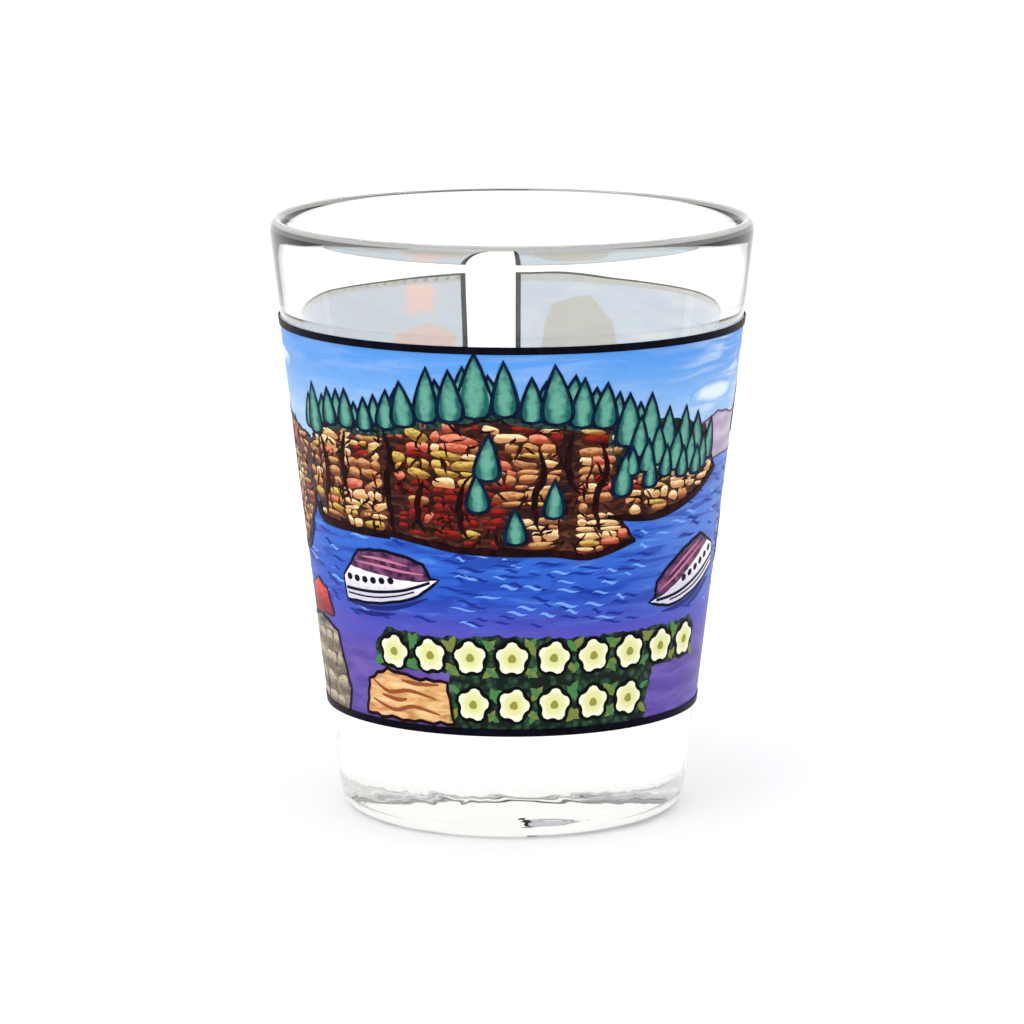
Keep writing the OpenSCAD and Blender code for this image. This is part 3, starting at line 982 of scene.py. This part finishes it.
def course(start, end, low, high, dip, rough, chance):
    """One row of blocks between two joints."""
    x = start
    while x < end - 0.5:
        long = chance.uniform(0.7, 3.0)
        stop = end if x + long > end - 0.7 else x + long
        middle = ((x + stop) / 2, (low + high) / 2 + chance.uniform(-0.08, 0.08))
        if chance.random() > 0.03 and not any(covered(middle, tree) for tree in CLIFF_TREES):
            tall = (high - low) * chance.uniform(0.85, 1.2)
            tilt = dip + chance.uniform(-rough, rough)
            yield pebble(middle, stop - x, tall, tilt, chance), tone_at(*middle, chance)
        x = stop + chance.uniform(0.02, 0.14)


def covered(place, tree):
    return abs(place[0] - tree[0]) < 0.6 and tree[1] - 0.3 < place[1] < tree[2] + 0.3


def make_slabs():
    drawings = {tone: Drawing() for tone in TONES}
    nudge = random.Random(99)
    for number, outline in enumerate(BLUFFS):
        for block, tone in bedding(outline, random.Random(100 + number)):
            if not any(inside(p, nearer) for p in block[::8] for nearer in BLUFFS[:number]):
                lift = nudge.uniform(-0.004, 0.004)
                drawings[tone].plate(block, (STROKES[0] + lift, STROKES[1] + lift), cell=1.0)
    for tone, drawing in drawings.items():
        top, foot, slot = TONES[tone]
        nodes = ["strata_ink"] if tone == "rust" else []
        printed(tone + "_slabs", drawing, bedded(top, foot), slot, *nodes, grain=0.3)


# Between two stones of a row, and between two rows
STONE_GAP, ROW_GAP = 0.25, 0.2
SAND_LINE = 0.42


def make_stones():
    """The foreground boulders as heaped stones, and the worn bedding of the sand rock."""
    stones, beds = Drawing(), Drawing()
    for number, outline in enumerate(BOULDERS):
        chance = random.Random(200 + number)
        x0, y0, x1, y1 = box_of(outline)
        low = y0 + 0.5
        while low < y1 - 0.8:
            high = low + chance.uniform(1.3, 2.1)
            for a, b in spans(outline, x0, x1, low, high):
                x = a + chance.uniform(0, 0.5)
                while x < b - 1.2:
                    stop = min(b, x + chance.uniform(1.8, 3.6))
                    place = ((x + stop) / 2, (low + high) / 2)
                    stones.plate(pebble(place, stop - x, high - low, chance.uniform(-12, 12), chance),
                                 STROKES, cell=1.0)
                    x = stop + STONE_GAP
            low = high + ROW_GAP
    for path in SAND_BEDS:
        beds.ribbon(curve(path), SAND_LINE, STROKES, taper=0.7)
    printed("stones", stones, bedded((196, 182, 156), (112, 98, 84)), "grey_brown_enamel", grain=0.35)
    printed("sand_beds", beds, plain(150, 78, 36), "red_brown_enamel")


SAND_BEDS = [[(-16.6, 15.6), (-14.4, 14.6), (-11.6, 15), (-8.4, 14.4)],
             [(-16.8, 13.6), (-13.8, 12.8), (-11.2, 13.4), (-8, 12.8)],
             [(-12.6, 16), (-10.6, 15.8), (-8, 15.9)],
             [(-15.4, 14.2), (-13.2, 13.9), (-12, 14.1)]]


# ---- dark line work
CREVICES = [[(-12.6, 41.4), (-12.0, 38.4), (-12.6, 35.4), (-12.0, 31)],
            [(-8.6, 36.6), (-9.4, 34.2), (-8.8, 31.4)],
            [(-4.6, 36.6), (-5.2, 34), (-4.4, 31)],
            [(2.4, 40.2), (2.9, 37.4), (2.0, 34.6), (2.6, 32)],
            [(5.6, 41.6), (5.1, 38.2), (6.4, 35.4)],
            [(8.4, 40.4), (9.0, 37.6), (8.0, 34.2), (8.8, 31.6)],
            [(-17.4, 40.8), (-18.2, 37.6), (-17.4, 33.6)],
            [(-21.4, 40), (-20.8, 36.4), (-21.6, 32)],
            [(-30.4, 39.8), (-31.0, 35.4), (-30.2, 29)],
            [(-41.2, 41.6), (-41.9, 36.4), (-41.0, 30.4)],
            [(-54.6, 44), (-54.0, 38.6), (-54.8, 32)],
            [(57.2, 47.2), (56.6, 40.4), (57.4, 32)]]
WATERLINES = [[(-24.2, 33.6), (-22.6, 31.2), (-17, 30.8), (-12.6, 30.6)],
              [(-13.4, 31), (-9, 30.4), (-5, 29.8), (0, 29.6), (4, 29.5), (8, 29), (12.8, 30.3)],
              [(9.4, 32.9), (15, 32.4), (20.6, 33.8), (24.8, 36.1)],
              [(-48, 30.4), (-42, 28.8), (-36, 27.9), (-29, 27.2), (-25.4, 30.2)],
              [(-60, 30.8), (-53, 30.2), (-49, 31.8)],
              [(52, 30.8), (58, 30.2), (63, 30.8)]]


# Widths of the dark lines
ROCK_LINE, BOULDER_LINE, CREVICE_LINE, WATERLINE, HILL_LINE = 0.32, 0.34, 0.7, 0.72, 0.22
BRUSH_WIDTH = 1.7


def exposed(outline, others):
    """The stretches of an outline that no other outline covers."""
    runs, run = [], []
    for p in outline + outline[:1]:
        if any(inside(p, other) for other in others):
            runs.append(run)
            run = []
        else:
            run.append(p)
    return [r for r in runs + [run] if len(r) > 2]


def make_line_work():
    """Dark outlines of rock, boulders and hills, the crevices and the shadow along the water."""
    rock, hills = Drawing(), Drawing()
    for outline in BLUFFS:
        for run in exposed(outline, [o for o in BLUFFS if o is not outline]):
            rock.ribbon(run, ROCK_LINE, OUTLINES, taper=0.3)
    for outline in BOULDERS + [o for ink, o in REGIONS if ink == "sand"]:
        for run in exposed(outline, [FOOT_STRIP]):
            rock.ribbon(run, BOULDER_LINE, OUTLINES)
    for path in CREVICES:
        rock.ribbon(rugged_line(curve(path), 0.16, 5), CREVICE_LINE, CREVICE_INK, taper=0.8)
    for path in WATERLINES:
        rock.ribbon(curve(path, 8), WATERLINE, WATERLINE_INK, taper=0.4)
    for ink, outline in REGIONS:
        if ink == "hill":
            hills.ribbon(outline, HILL_LINE, STROKES, closed=True)
    printed("rock_outlines", rock, mottled((18, 4, 8), (40, 14, 14)), "black_enamel", sheen=0.04)
    printed("hill_outlines", hills, plain(92, 70, 110), "violet_enamel")


CRACK_DENSITY = 0.3     # cracks tried on a square millimetre


def make_cracks():
    """Short dark cracks at every slope over the rock."""
    chance = random.Random(33)
    spots = []
    for outline in BLUFFS:
        x0, y0, x1, y1 = box_of(outline)
        for _ in range(round((x1 - x0) * (y1 - y0) * CRACK_DENSITY)):
            spot = (chance.uniform(x0, x1), chance.uniform(y0 + 0.5, y1))
            size = (chance.uniform(0.8, 2.2), chance.uniform(0.16, 0.36))
            tilt = chance.choice([-1, 1]) * chance.uniform(15, 80)
            if ink_at(spot) == "rock":
                spots.append((*spot, STROKES[1] + chance.uniform(0.006, 0.014), *size, tilt))
    dark = mottled((24, 4, 6), (56, 20, 14))
    scattered("cracks", lens(5, 0.35), spots, dark, "black_enamel", thick=0.008, cell=0.3, sheen=0.04)


def make_undergrowth():
    """Dark brush along the crests, behind the feet of the trees."""
    brush = Drawing()
    for number, trees in enumerate([CREST_TREES, FAR_TREES, NEAR_END_TREES]):
        path = curve([(x, foot + 0.05) for x, foot, _ in trees], 6)
        brush.ribbon(rugged_line(path, 0.1, number), BRUSH_WIDTH, STROKES, taper=0.5)
    printed("undergrowth", brush, mottled((12, 34, 34), (40, 84, 70), 2.0), "dark_green_enamel")


def rugged_line(path, depth, seed):
    chance = random.Random(seed)
    return [(x + chance.uniform(-depth, depth), y) for x, y in path]


# ---- trees
# Each tree is (x, foot, top)
CREST_TREES = [(-22, 40, 44.6), (-19.4, 41.2, 44.4), (-17, 41.2, 44.6), (-14.6, 41.2, 44),
               (-12.2, 41.6, 45), (-10.2, 42, 46), (-8, 42.6, 47.6), (-5.6, 42.8, 47.4),
               (-3.4, 43.2, 49.2), (-0.6, 43.4, 48.4), (1.8, 42.8, 46.8), (4.2, 42.6, 48),
               (6.4, 42.2, 46.6), (8.6, 42, 46)]
BACK_TREES = [(-23.2, 40.4, 43.4), (-20.6, 41.2, 43.6), (-18.2, 41.6, 44.4), (-15.8, 41.6, 43.4),
              (-13.4, 42, 44.4), (-11.2, 42, 45.2), (-6.8, 43.2, 46.4), (-4.6, 43.6, 47.8),
              (-1.9, 43.8, 47), (3.0, 43, 46.4), (5.4, 43, 46.9), (7.6, 42.6, 45.6),
              (9.8, 41.8, 45), (12.4, 41.2, 43.8)]
SLOPE_TREES = [(11.2, 40, 44.8), (13.6, 39.6, 44.6), (15.8, 38, 43), (18, 38.2, 42.8),
               (20.2, 37.6, 42), (22.4, 37.4, 41), (14, 35.6, 38.4), (10.8, 35, 39)]
THICKET = [(12.4, 38.8, 42.4), (14.8, 37.8, 41.4), (17, 37, 40.6), (19.2, 36.7, 40.2),
           (21.4, 36.6, 39.6), (13.4, 37.2, 40), (15.8, 36.5, 39.2), (18.2, 36.2, 38.8),
           (20.4, 36.2, 38.6), (11.8, 37, 39.4)]
CLIFF_TREES = [(-2.4, 37, 41.2), (-3.2, 33.8, 37.2), (0.4, 30.6, 33.8), (4, 33.2, 36.6)]
FAR_TREES = [(32 + 2.6 * i, 38.6 + 0.8 * (i % 2), 44 + 1.2 * (i % 3)) for i in range(8)]
NEAR_END_TREES = [(-47 + 2.6 * i, 40.6 + 0.6 * (i % 2), 45.4 + 1.2 * (i % 2)) for i in range(5)]
SLIMNESS = 0.6
# Lift of the last row's outlines, of each row over the one behind, and of a tree's fill over its outline
LAST_ROW_LIFT, ROW_LIFT, FILL_LIFT = 0.158, 0.014, 0.007
TREE_ROWS = [BACK_TREES, CREST_TREES[0::2] + SLOPE_TREES[0:6:2] + FAR_TREES[0::2] + NEAR_END_TREES[0::2],
             CREST_TREES[1::2] + SLOPE_TREES[1:6:2] + FAR_TREES[1::2] + NEAR_END_TREES[1::2],
             THICKET[:5], THICKET[5:] + CLIFF_TREES + SLOPE_TREES[6:]]


def make_trees():
    """Conifers in five rows, each row over the one behind, each tree a teal fill in a dark outline."""
    chance = random.Random(7)
    fills, outlines = [], []
    for row, trees in enumerate(TREE_ROWS):
        lift = LAST_ROW_LIFT + ROW_LIFT * row
        for x, foot, top in trees:
            tall = top - foot
            wide = SLIMNESS * tall ** 0.8 * chance.uniform(0.88, 1.16)
            tilt = chance.uniform(-4, 4)
            fills.append((x, foot, lift + FILL_LIFT, wide, tall, tilt))
            outlines.append((x, foot - 0.3, lift, wide + 0.8, tall + 0.9, tilt))
    dark = mottled((4, 12, 40), (6, 34, 62))
    scattered("tree_outlines", conifer(), outlines, dark, "black_enamel", thick=0.005, cell=0.5, sheen=0.05)
    scattered("conifers", conifer(), fills, conifer_paint, "teal_enamel", "tree_ink", thick=0.005, cell=0.5,
              grain=0.3)


def conifer_paint(net, x, y):
    """Lighter down the middle of each tree, with soft darker tufts."""
    across, up, _ = net.parts(net.attribute("motif"))
    tufts = net.noise(net.vector(x * 1.3, y * 1.1), 1.0, detail=3)
    heart = 1.0 - (across * across * 1.4 + (up + 0.25) * (up + 0.25) * 0.5)
    teal = net.blend((heart + (tufts - 0.5) * 1.3).ramp(0.2, 1.0), (22, 92, 86), (98, 166, 146))
    return net.blend(tufts.ramp(0.6, 0.75) * 0.5, teal, (36, 128, 96))


# ---- flowers and bushes
UPPER_BLOSSOMS = [(-13.2 + 4.4 * i, 18.9) for i in range(9)]
LOWER_BLOSSOMS = [(-4.2 + 4.4 * i, 14.1) for i in range(5)]
RED_BUSH = [(-29.4, 20.9), (-26, 21), (-23, 21.2), (-24, 23.6), (-26.4, 24.4), (-28.6, 23.4)]
SMALL_BUSH = [(-1.6, -1.4), (1.6, -1.4), (2, 0.2), (0.8, 1.6), (-1, 1.5), (-2, 0.2)]
BUSH_SPOTS = [(57, 47.6), (-56.6, 47.4), (46, 20.3)]
BUSH_RIM = 0.5


# Radii of a blossom's dark rim, its petals and its heart
RIM_SIZE, PETAL_SIZE, HEART_SIZE = 2.02, 1.72, 0.46


def make_blossoms():
    places = UPPER_BLOSSOMS + LOWER_BLOSSOMS
    chance = random.Random(21)
    turns = [chance.uniform(-18, 18) for _ in places]
    rims = [(x, y, OUTLINES[0], RIM_SIZE, RIM_SIZE, t) for (x, y), t in zip(places, turns)]
    petals = [(x, y, FILLS[0], PETAL_SIZE, PETAL_SIZE, t) for (x, y), t in zip(places, turns)]
    hearts = [(x, y, DETAILS[0], HEART_SIZE, HEART_SIZE, t) for (x, y), t in zip(places, turns)]
    scattered("blossom_rims", petalled(5, 0.12, 4), rims, plain(6, 12, 12), "black_enamel", cell=0.5,
              sheen=0.04)
    scattered("blossoms", petalled(5, 0.36, 5), petals, blossom_paint, "cream_enamel", "blossom_ink",
              cell=0.5, grain=0.1)
    scattered("blossom_hearts", petalled(3, 0.15, 4), hearts, plain(150, 150, 60), "sand_enamel", cell=0.9)


def blossom_paint(net, x, y):
    across, up, _ = net.parts(net.attribute("motif"))
    rim = (across * across + up * up).ramp(0.15, 0.9)
    return net.blend(rim, (226, 228, 160), (246, 248, 218))


def make_leaves():
    """Leaves between the blossoms, in two greens."""
    chance = random.Random(22)
    shares = {"leaves": [], "olive_leaves": []}
    for x, y in UPPER_BLOSSOMS + LOWER_BLOSSOMS:
        for side in (-1, 1):
            for lift in (-1, 1):
                spot = (x + side * 2.2 + chance.uniform(-0.3, 0.3), y + lift * chance.uniform(0.9, 1.5))
                tilt = side * lift * chance.uniform(25, 65)
                size = chance.uniform(1.5, 2.3)
                if ink_at(spot) == "foliage":
                    share = chance.choice(list(shares))
                    shares[share].append((*spot, STROKES[0], size, size * 0.42, tilt))
    greens = {"leaves": (70, 128, 70), "olive_leaves": (120, 130, 62)}
    for name, spots in shares.items():
        scattered(name, lens(4), spots, plain(*greens[name]), "dark_green_enamel", cell=2, grain=0.4)


def make_bushes():
    bushes, rims = Drawing(), Drawing()
    outlines = [RED_BUSH] + [placed(SMALL_BUSH, spot) for spot in BUSH_SPOTS]
    for number, outline in enumerate(outlines):
        shape = rounded(rugged(outline, 0.9, 0.16, 60 + number), 2)
        bushes.plate(shape, FILLS, cell=1.0)
        rims.ribbon(shape, BUSH_RIM, OUTLINES, closed=True)
    red = bedded((226, 62, 44), (140, 20, 30))
    printed("red_bushes", bushes, red, "red_enamel", "red_ink", grain=0.4)
    printed("bush_rims", rims, plain(50, 10, 20), "black_enamel")


# ---- boats, clouds and ripples
HULL = [(-6, -1.4), (-3.5, -1.4), (-1, -1.2), (1.4, -0.75), (3.6, 0), (5.8, 1.6), (3.8, 1.3), (2, 1.3),
        (-1.5, 1.62), (-5, 2), (-6.2, 0.8)]
ROOF = [(-5, 2), (-1.5, 1.62), (2, 1.3), (5, 1.55), (4.2, 3), (2.2, 3.6), (0, 3.9), (-2, 3.85),
        (-3.6, 3.6)]
WALES = [[(-6.0, -0.35), (-3.4, -0.35), (-1, -0.2), (1.6, 0.2), (3.6, 0.8), (5.0, 1.35)],
         [(-5.8, -0.85), (-3.4, -0.9), (-1, -0.75), (1.4, -0.3), (3.2, 0.25)]]
AWNING_LINES = [[(-4.2, 2.6), (-1, 2.5), (2, 2.2), (4.4, 2.1)], [(-3.2, 3.2), (-0.6, 3.2), (2.6, 2.8)]]
PORTS = [(-5.3 + 1.15 * i, 0.85 - 0.05 * i + 0.02 * i * i) for i in range(6)]
# Each boat is (place, mirrored, tilt in degrees)
BOATS = [((-13.4, 25), False, 0), ((37, 27), False, 0), ((21.4, 24.6), True, 25)]
SHADOWS = [[(-6.4, -1.75), (-3, -1.95), (0, -1.75), (2.6, -1.1), (4.6, -0.3)],
           [(-5, -2.5), (-2.4, -2.6), (0.6, -2.3)]]
WALE_WIDTHS = (0.3, 0.16)
BOAT_RIM, AWNING_LINE, SHADOW_LINE, PORT_RADIUS = 0.62, 0.3, 0.5, 0.4


def make_boats():
    """Each boat: white hull with ports and wales, dark awning, and its shadow on the water."""
    rims, hulls, roofs, marks, lines, shadows = (Drawing() for _ in range(6))
    for boat in BOATS:
        for shape, fills in ((HULL, hulls), (ROOF, roofs)):
            outline = on_boat(rugged(shape, 0.7, 0.05, 1), boat)
            fills.plate(outline, FILLS, cell=1.0)
            rims.ribbon(outline, BOAT_RIM, OUTLINES, closed=True)
        for path, wide in zip(WALES, WALE_WIDTHS):
            marks.ribbon(on_boat(curve(path, 3), boat), wide, DETAILS)
        for port in PORTS:
            outline = on_boat(placed(petalled(2, 0.2, 5), port, PORT_RADIUS, tilt=90), boat)
            marks.plate(outline, DETAILS, cell=1.0)
        for path in AWNING_LINES:
            lines.ribbon(on_boat(curve(path, 3), boat), AWNING_LINE, DETAILS, taper=0.8)
        for path in SHADOWS:
            shadows.ribbon(on_boat(curve(path, 3), boat), SHADOW_LINE, STROKES, taper=0.8)
    printed("boat_rims", rims, plain(8, 10, 30), "black_enamel", sheen=0.04)
    printed("hulls", hulls, bedded((250, 250, 252), (214, 212, 228)), "white_enamel", grain=0.08)
    maroon = mottled((44, 14, 52), (132, 72, 118), 0.9)
    printed("awnings", roofs, maroon, "maroon_enamel", "maroon_ink", grain=0.5)
    printed("hull_marks", marks, plain(20, 10, 34), "black_enamel", sheen=0.04)
    printed("awning_lines", lines, plain(196, 120, 150), "maroon_enamel")
    printed("boat_shadows", shadows, plain(20, 34, 120), "navy_enamel")


def on_boat(outline, boat):
    """The outline in a boat's place, and still anticlockwise if the boat is mirrored."""
    place, mirrored, tilt = boat
    if mirrored:
        outline = [(-x, y) for x, y in reversed(outline)]
    return placed(outline, place, tilt=tilt)


CLOUD = [(-4, -0.6), (0, -0.75), (3.6, -0.8), (4.2, 0.2), (1.4, 1), (-1.4, 1.2), (-4, 0.5)]
CLOUD_SPOTS = [(23, 43.8), (33, 46.4), (45, 48), (-31, 46.6), (-44, 48)]


def make_clouds():
    clouds = Drawing()
    for spot in CLOUD_SPOTS:
        clouds.plate(rounded(placed(CLOUD, spot), 3), STROKES, cell=1.0)
    printed("clouds", clouds, cloud_paint, "white_enamel", "white_ink", grain=0.04)


def cloud_paint(net, x, y):
    """White in the middle of each cloud and nearly the sky's blue at its edge."""
    across, up, _ = net.parts(net.attribute("motif"))
    puffs = net.noise(net.vector(x * 0.8, y * 1.2), 1.0, detail=3)
    edge = (across * across + up * up + (puffs - 0.5) * 0.8).ramp(0.1, 1.0)
    return net.blend(edge, (224, 236, 250), (140, 186, 240))


# Water kept clear of ripples: either side of a boat's middle, below it and above it
BOAT_SIDE, BOAT_BELOW, BOAT_ABOVE = 7.2, 2.2, 4.6


def near_boat(x, y):
    return any(abs(x - px) < BOAT_SIDE and -BOAT_BELOW < y - py < BOAT_ABOVE for (px, py), _, _ in BOATS)


RIPPLE_TRIES = 1500
RIPPLE_HEIGHTS = (22.2, 36)


def make_ripples():
    """Short strokes on the river, dark ones thickest in the middle, pale ones between."""
    chance = random.Random(31)
    shares = {"ripples": [], "pale_ripples": []}
    for _ in range(RIPPLE_TRIES):
        x, y = chance.uniform(WRAP_LEFT + 2, WRAP_RIGHT - 2), chance.uniform(*RIPPLE_HEIGHTS)
        long = chance.uniform(1.0, 3.2)
        tilt = chance.uniform(-4, 4)
        lift = STROKES[0] + chance.uniform(0, 0.008)
        ends = [(x - long / 2, y), (x, y), (x + long / 2, y)]
        wet = all(ink_at((px, py + d)) == "river" for px, py in ends for d in (-0.3, 0.3))
        keep = chance.random() < (1.0 if -8 < x < 14 else 0.62)
        name = "ripples" if chance.random() < 0.62 else "pale_ripples"
        if wet and keep and not near_boat(x, y) and clear_of(shares[name], x, y, long):
            shares[name].append((x, y, lift, long, chance.uniform(0.2, 0.4), tilt))
    inks = {"ripples": ((22, 48, 150), "navy_enamel", ["ripple_ink"]),
            "pale_ripples": ((112, 160, 236), "blue_enamel", [])}
    for name, spots in shares.items():
        colour, slot, nodes = inks[name]
        scattered(name, lens(5, 0.5), spots, plain(*colour), slot, *nodes, thick=0.012, cell=0.3)


def clear_of(spots, x, y, long):
    """Whether a ripple would stand clear of all those on the spots."""
    above, beside = 0.42, 0.2
    return all(abs(y - s[1]) > above or abs(x - s[0]) > (long + s[3]) / 2 + beside for s in spots)


# ---- room, light and the rest of the scene
def make_floor():
    mesh = bpy.data.meshes.new("floor")
    radius, count = 3.0, 64
    ring = [(radius * math.cos(2 * math.pi * i / count), radius * math.sin(2 * math.pi * i / count), 0)
            for i in range(count)]
    mesh.from_pydata(ring, [], [tuple(range(count))])
    material, net, shader = new_material("pale_floor")
    place = net.add("ShaderNodeTexCoord", None, None, out="Object")
    soft = net.noise(place, 6.0)
    net.feed(shader.inputs["Base Color"], net.blend(soft, (252, 252, 252), (255, 255, 255)))
    shader.inputs["Roughness"].default_value = 0.9
    shader.inputs["Specular IOR Level"].default_value = 0.0
    shader.inputs["Emission Color"].default_value = (1, 1, 1, 1)
    shader.inputs["Emission Strength"].default_value = 0.14
    mesh.materials.append(material)
    shown("floor", mesh)


SOFTBOX_PLACE = Vector((-0.5, -0.7, 0.75))
SOFTBOX_AIM = Vector((0, 0, 0.03))
SOFTBOX_SIZE = 0.6
SOFTBOX_POWER = 1.6
MOST_BOUNCES = 32
MOST_LAYERS = 16        # see-through layers that a ray may cross


def make_softbox():
    data = bpy.data.lights.new("softbox", "AREA")
    data.shape = "RECTANGLE"
    data.size, data.size_y = SOFTBOX_SIZE, SOFTBOX_SIZE
    data.energy = SOFTBOX_POWER
    lamp = bpy.data.objects.new("softbox", data)
    bpy.context.scene.collection.objects.link(lamp)
    lamp.location = SOFTBOX_PLACE
    lamp.rotation_euler = (SOFTBOX_AIM - SOFTBOX_PLACE).to_track_quat("-Z", "Y").to_euler()


def make_world():
    world = bpy.data.worlds.new("studio")
    bpy.context.scene.world = world
    world.use_nodes = True
    world.node_tree.nodes["Background"].inputs["Color"].default_value = (1, 1, 1, 1)
    world.node_tree.nodes["Background"].inputs["Strength"].default_value = 1.0
    bpy.context.scene.view_settings.view_transform = "Standard"
    bpy.context.scene.cycles.max_bounces = MOST_BOUNCES
    bpy.context.scene.cycles.transmission_bounces = MOST_BOUNCES
    bpy.context.scene.cycles.transparent_max_bounces = MOST_LAYERS


make_world()
make_softbox()
make_floor()
make_glass()
make_underprint()
make_mosaic()
make_slabs()
make_stones()
make_line_work()
make_cracks()
make_undergrowth()
make_trees()
make_blossoms()
make_leaves()
make_bushes()
make_boats()
make_clouds()
make_ripples()
make_border()
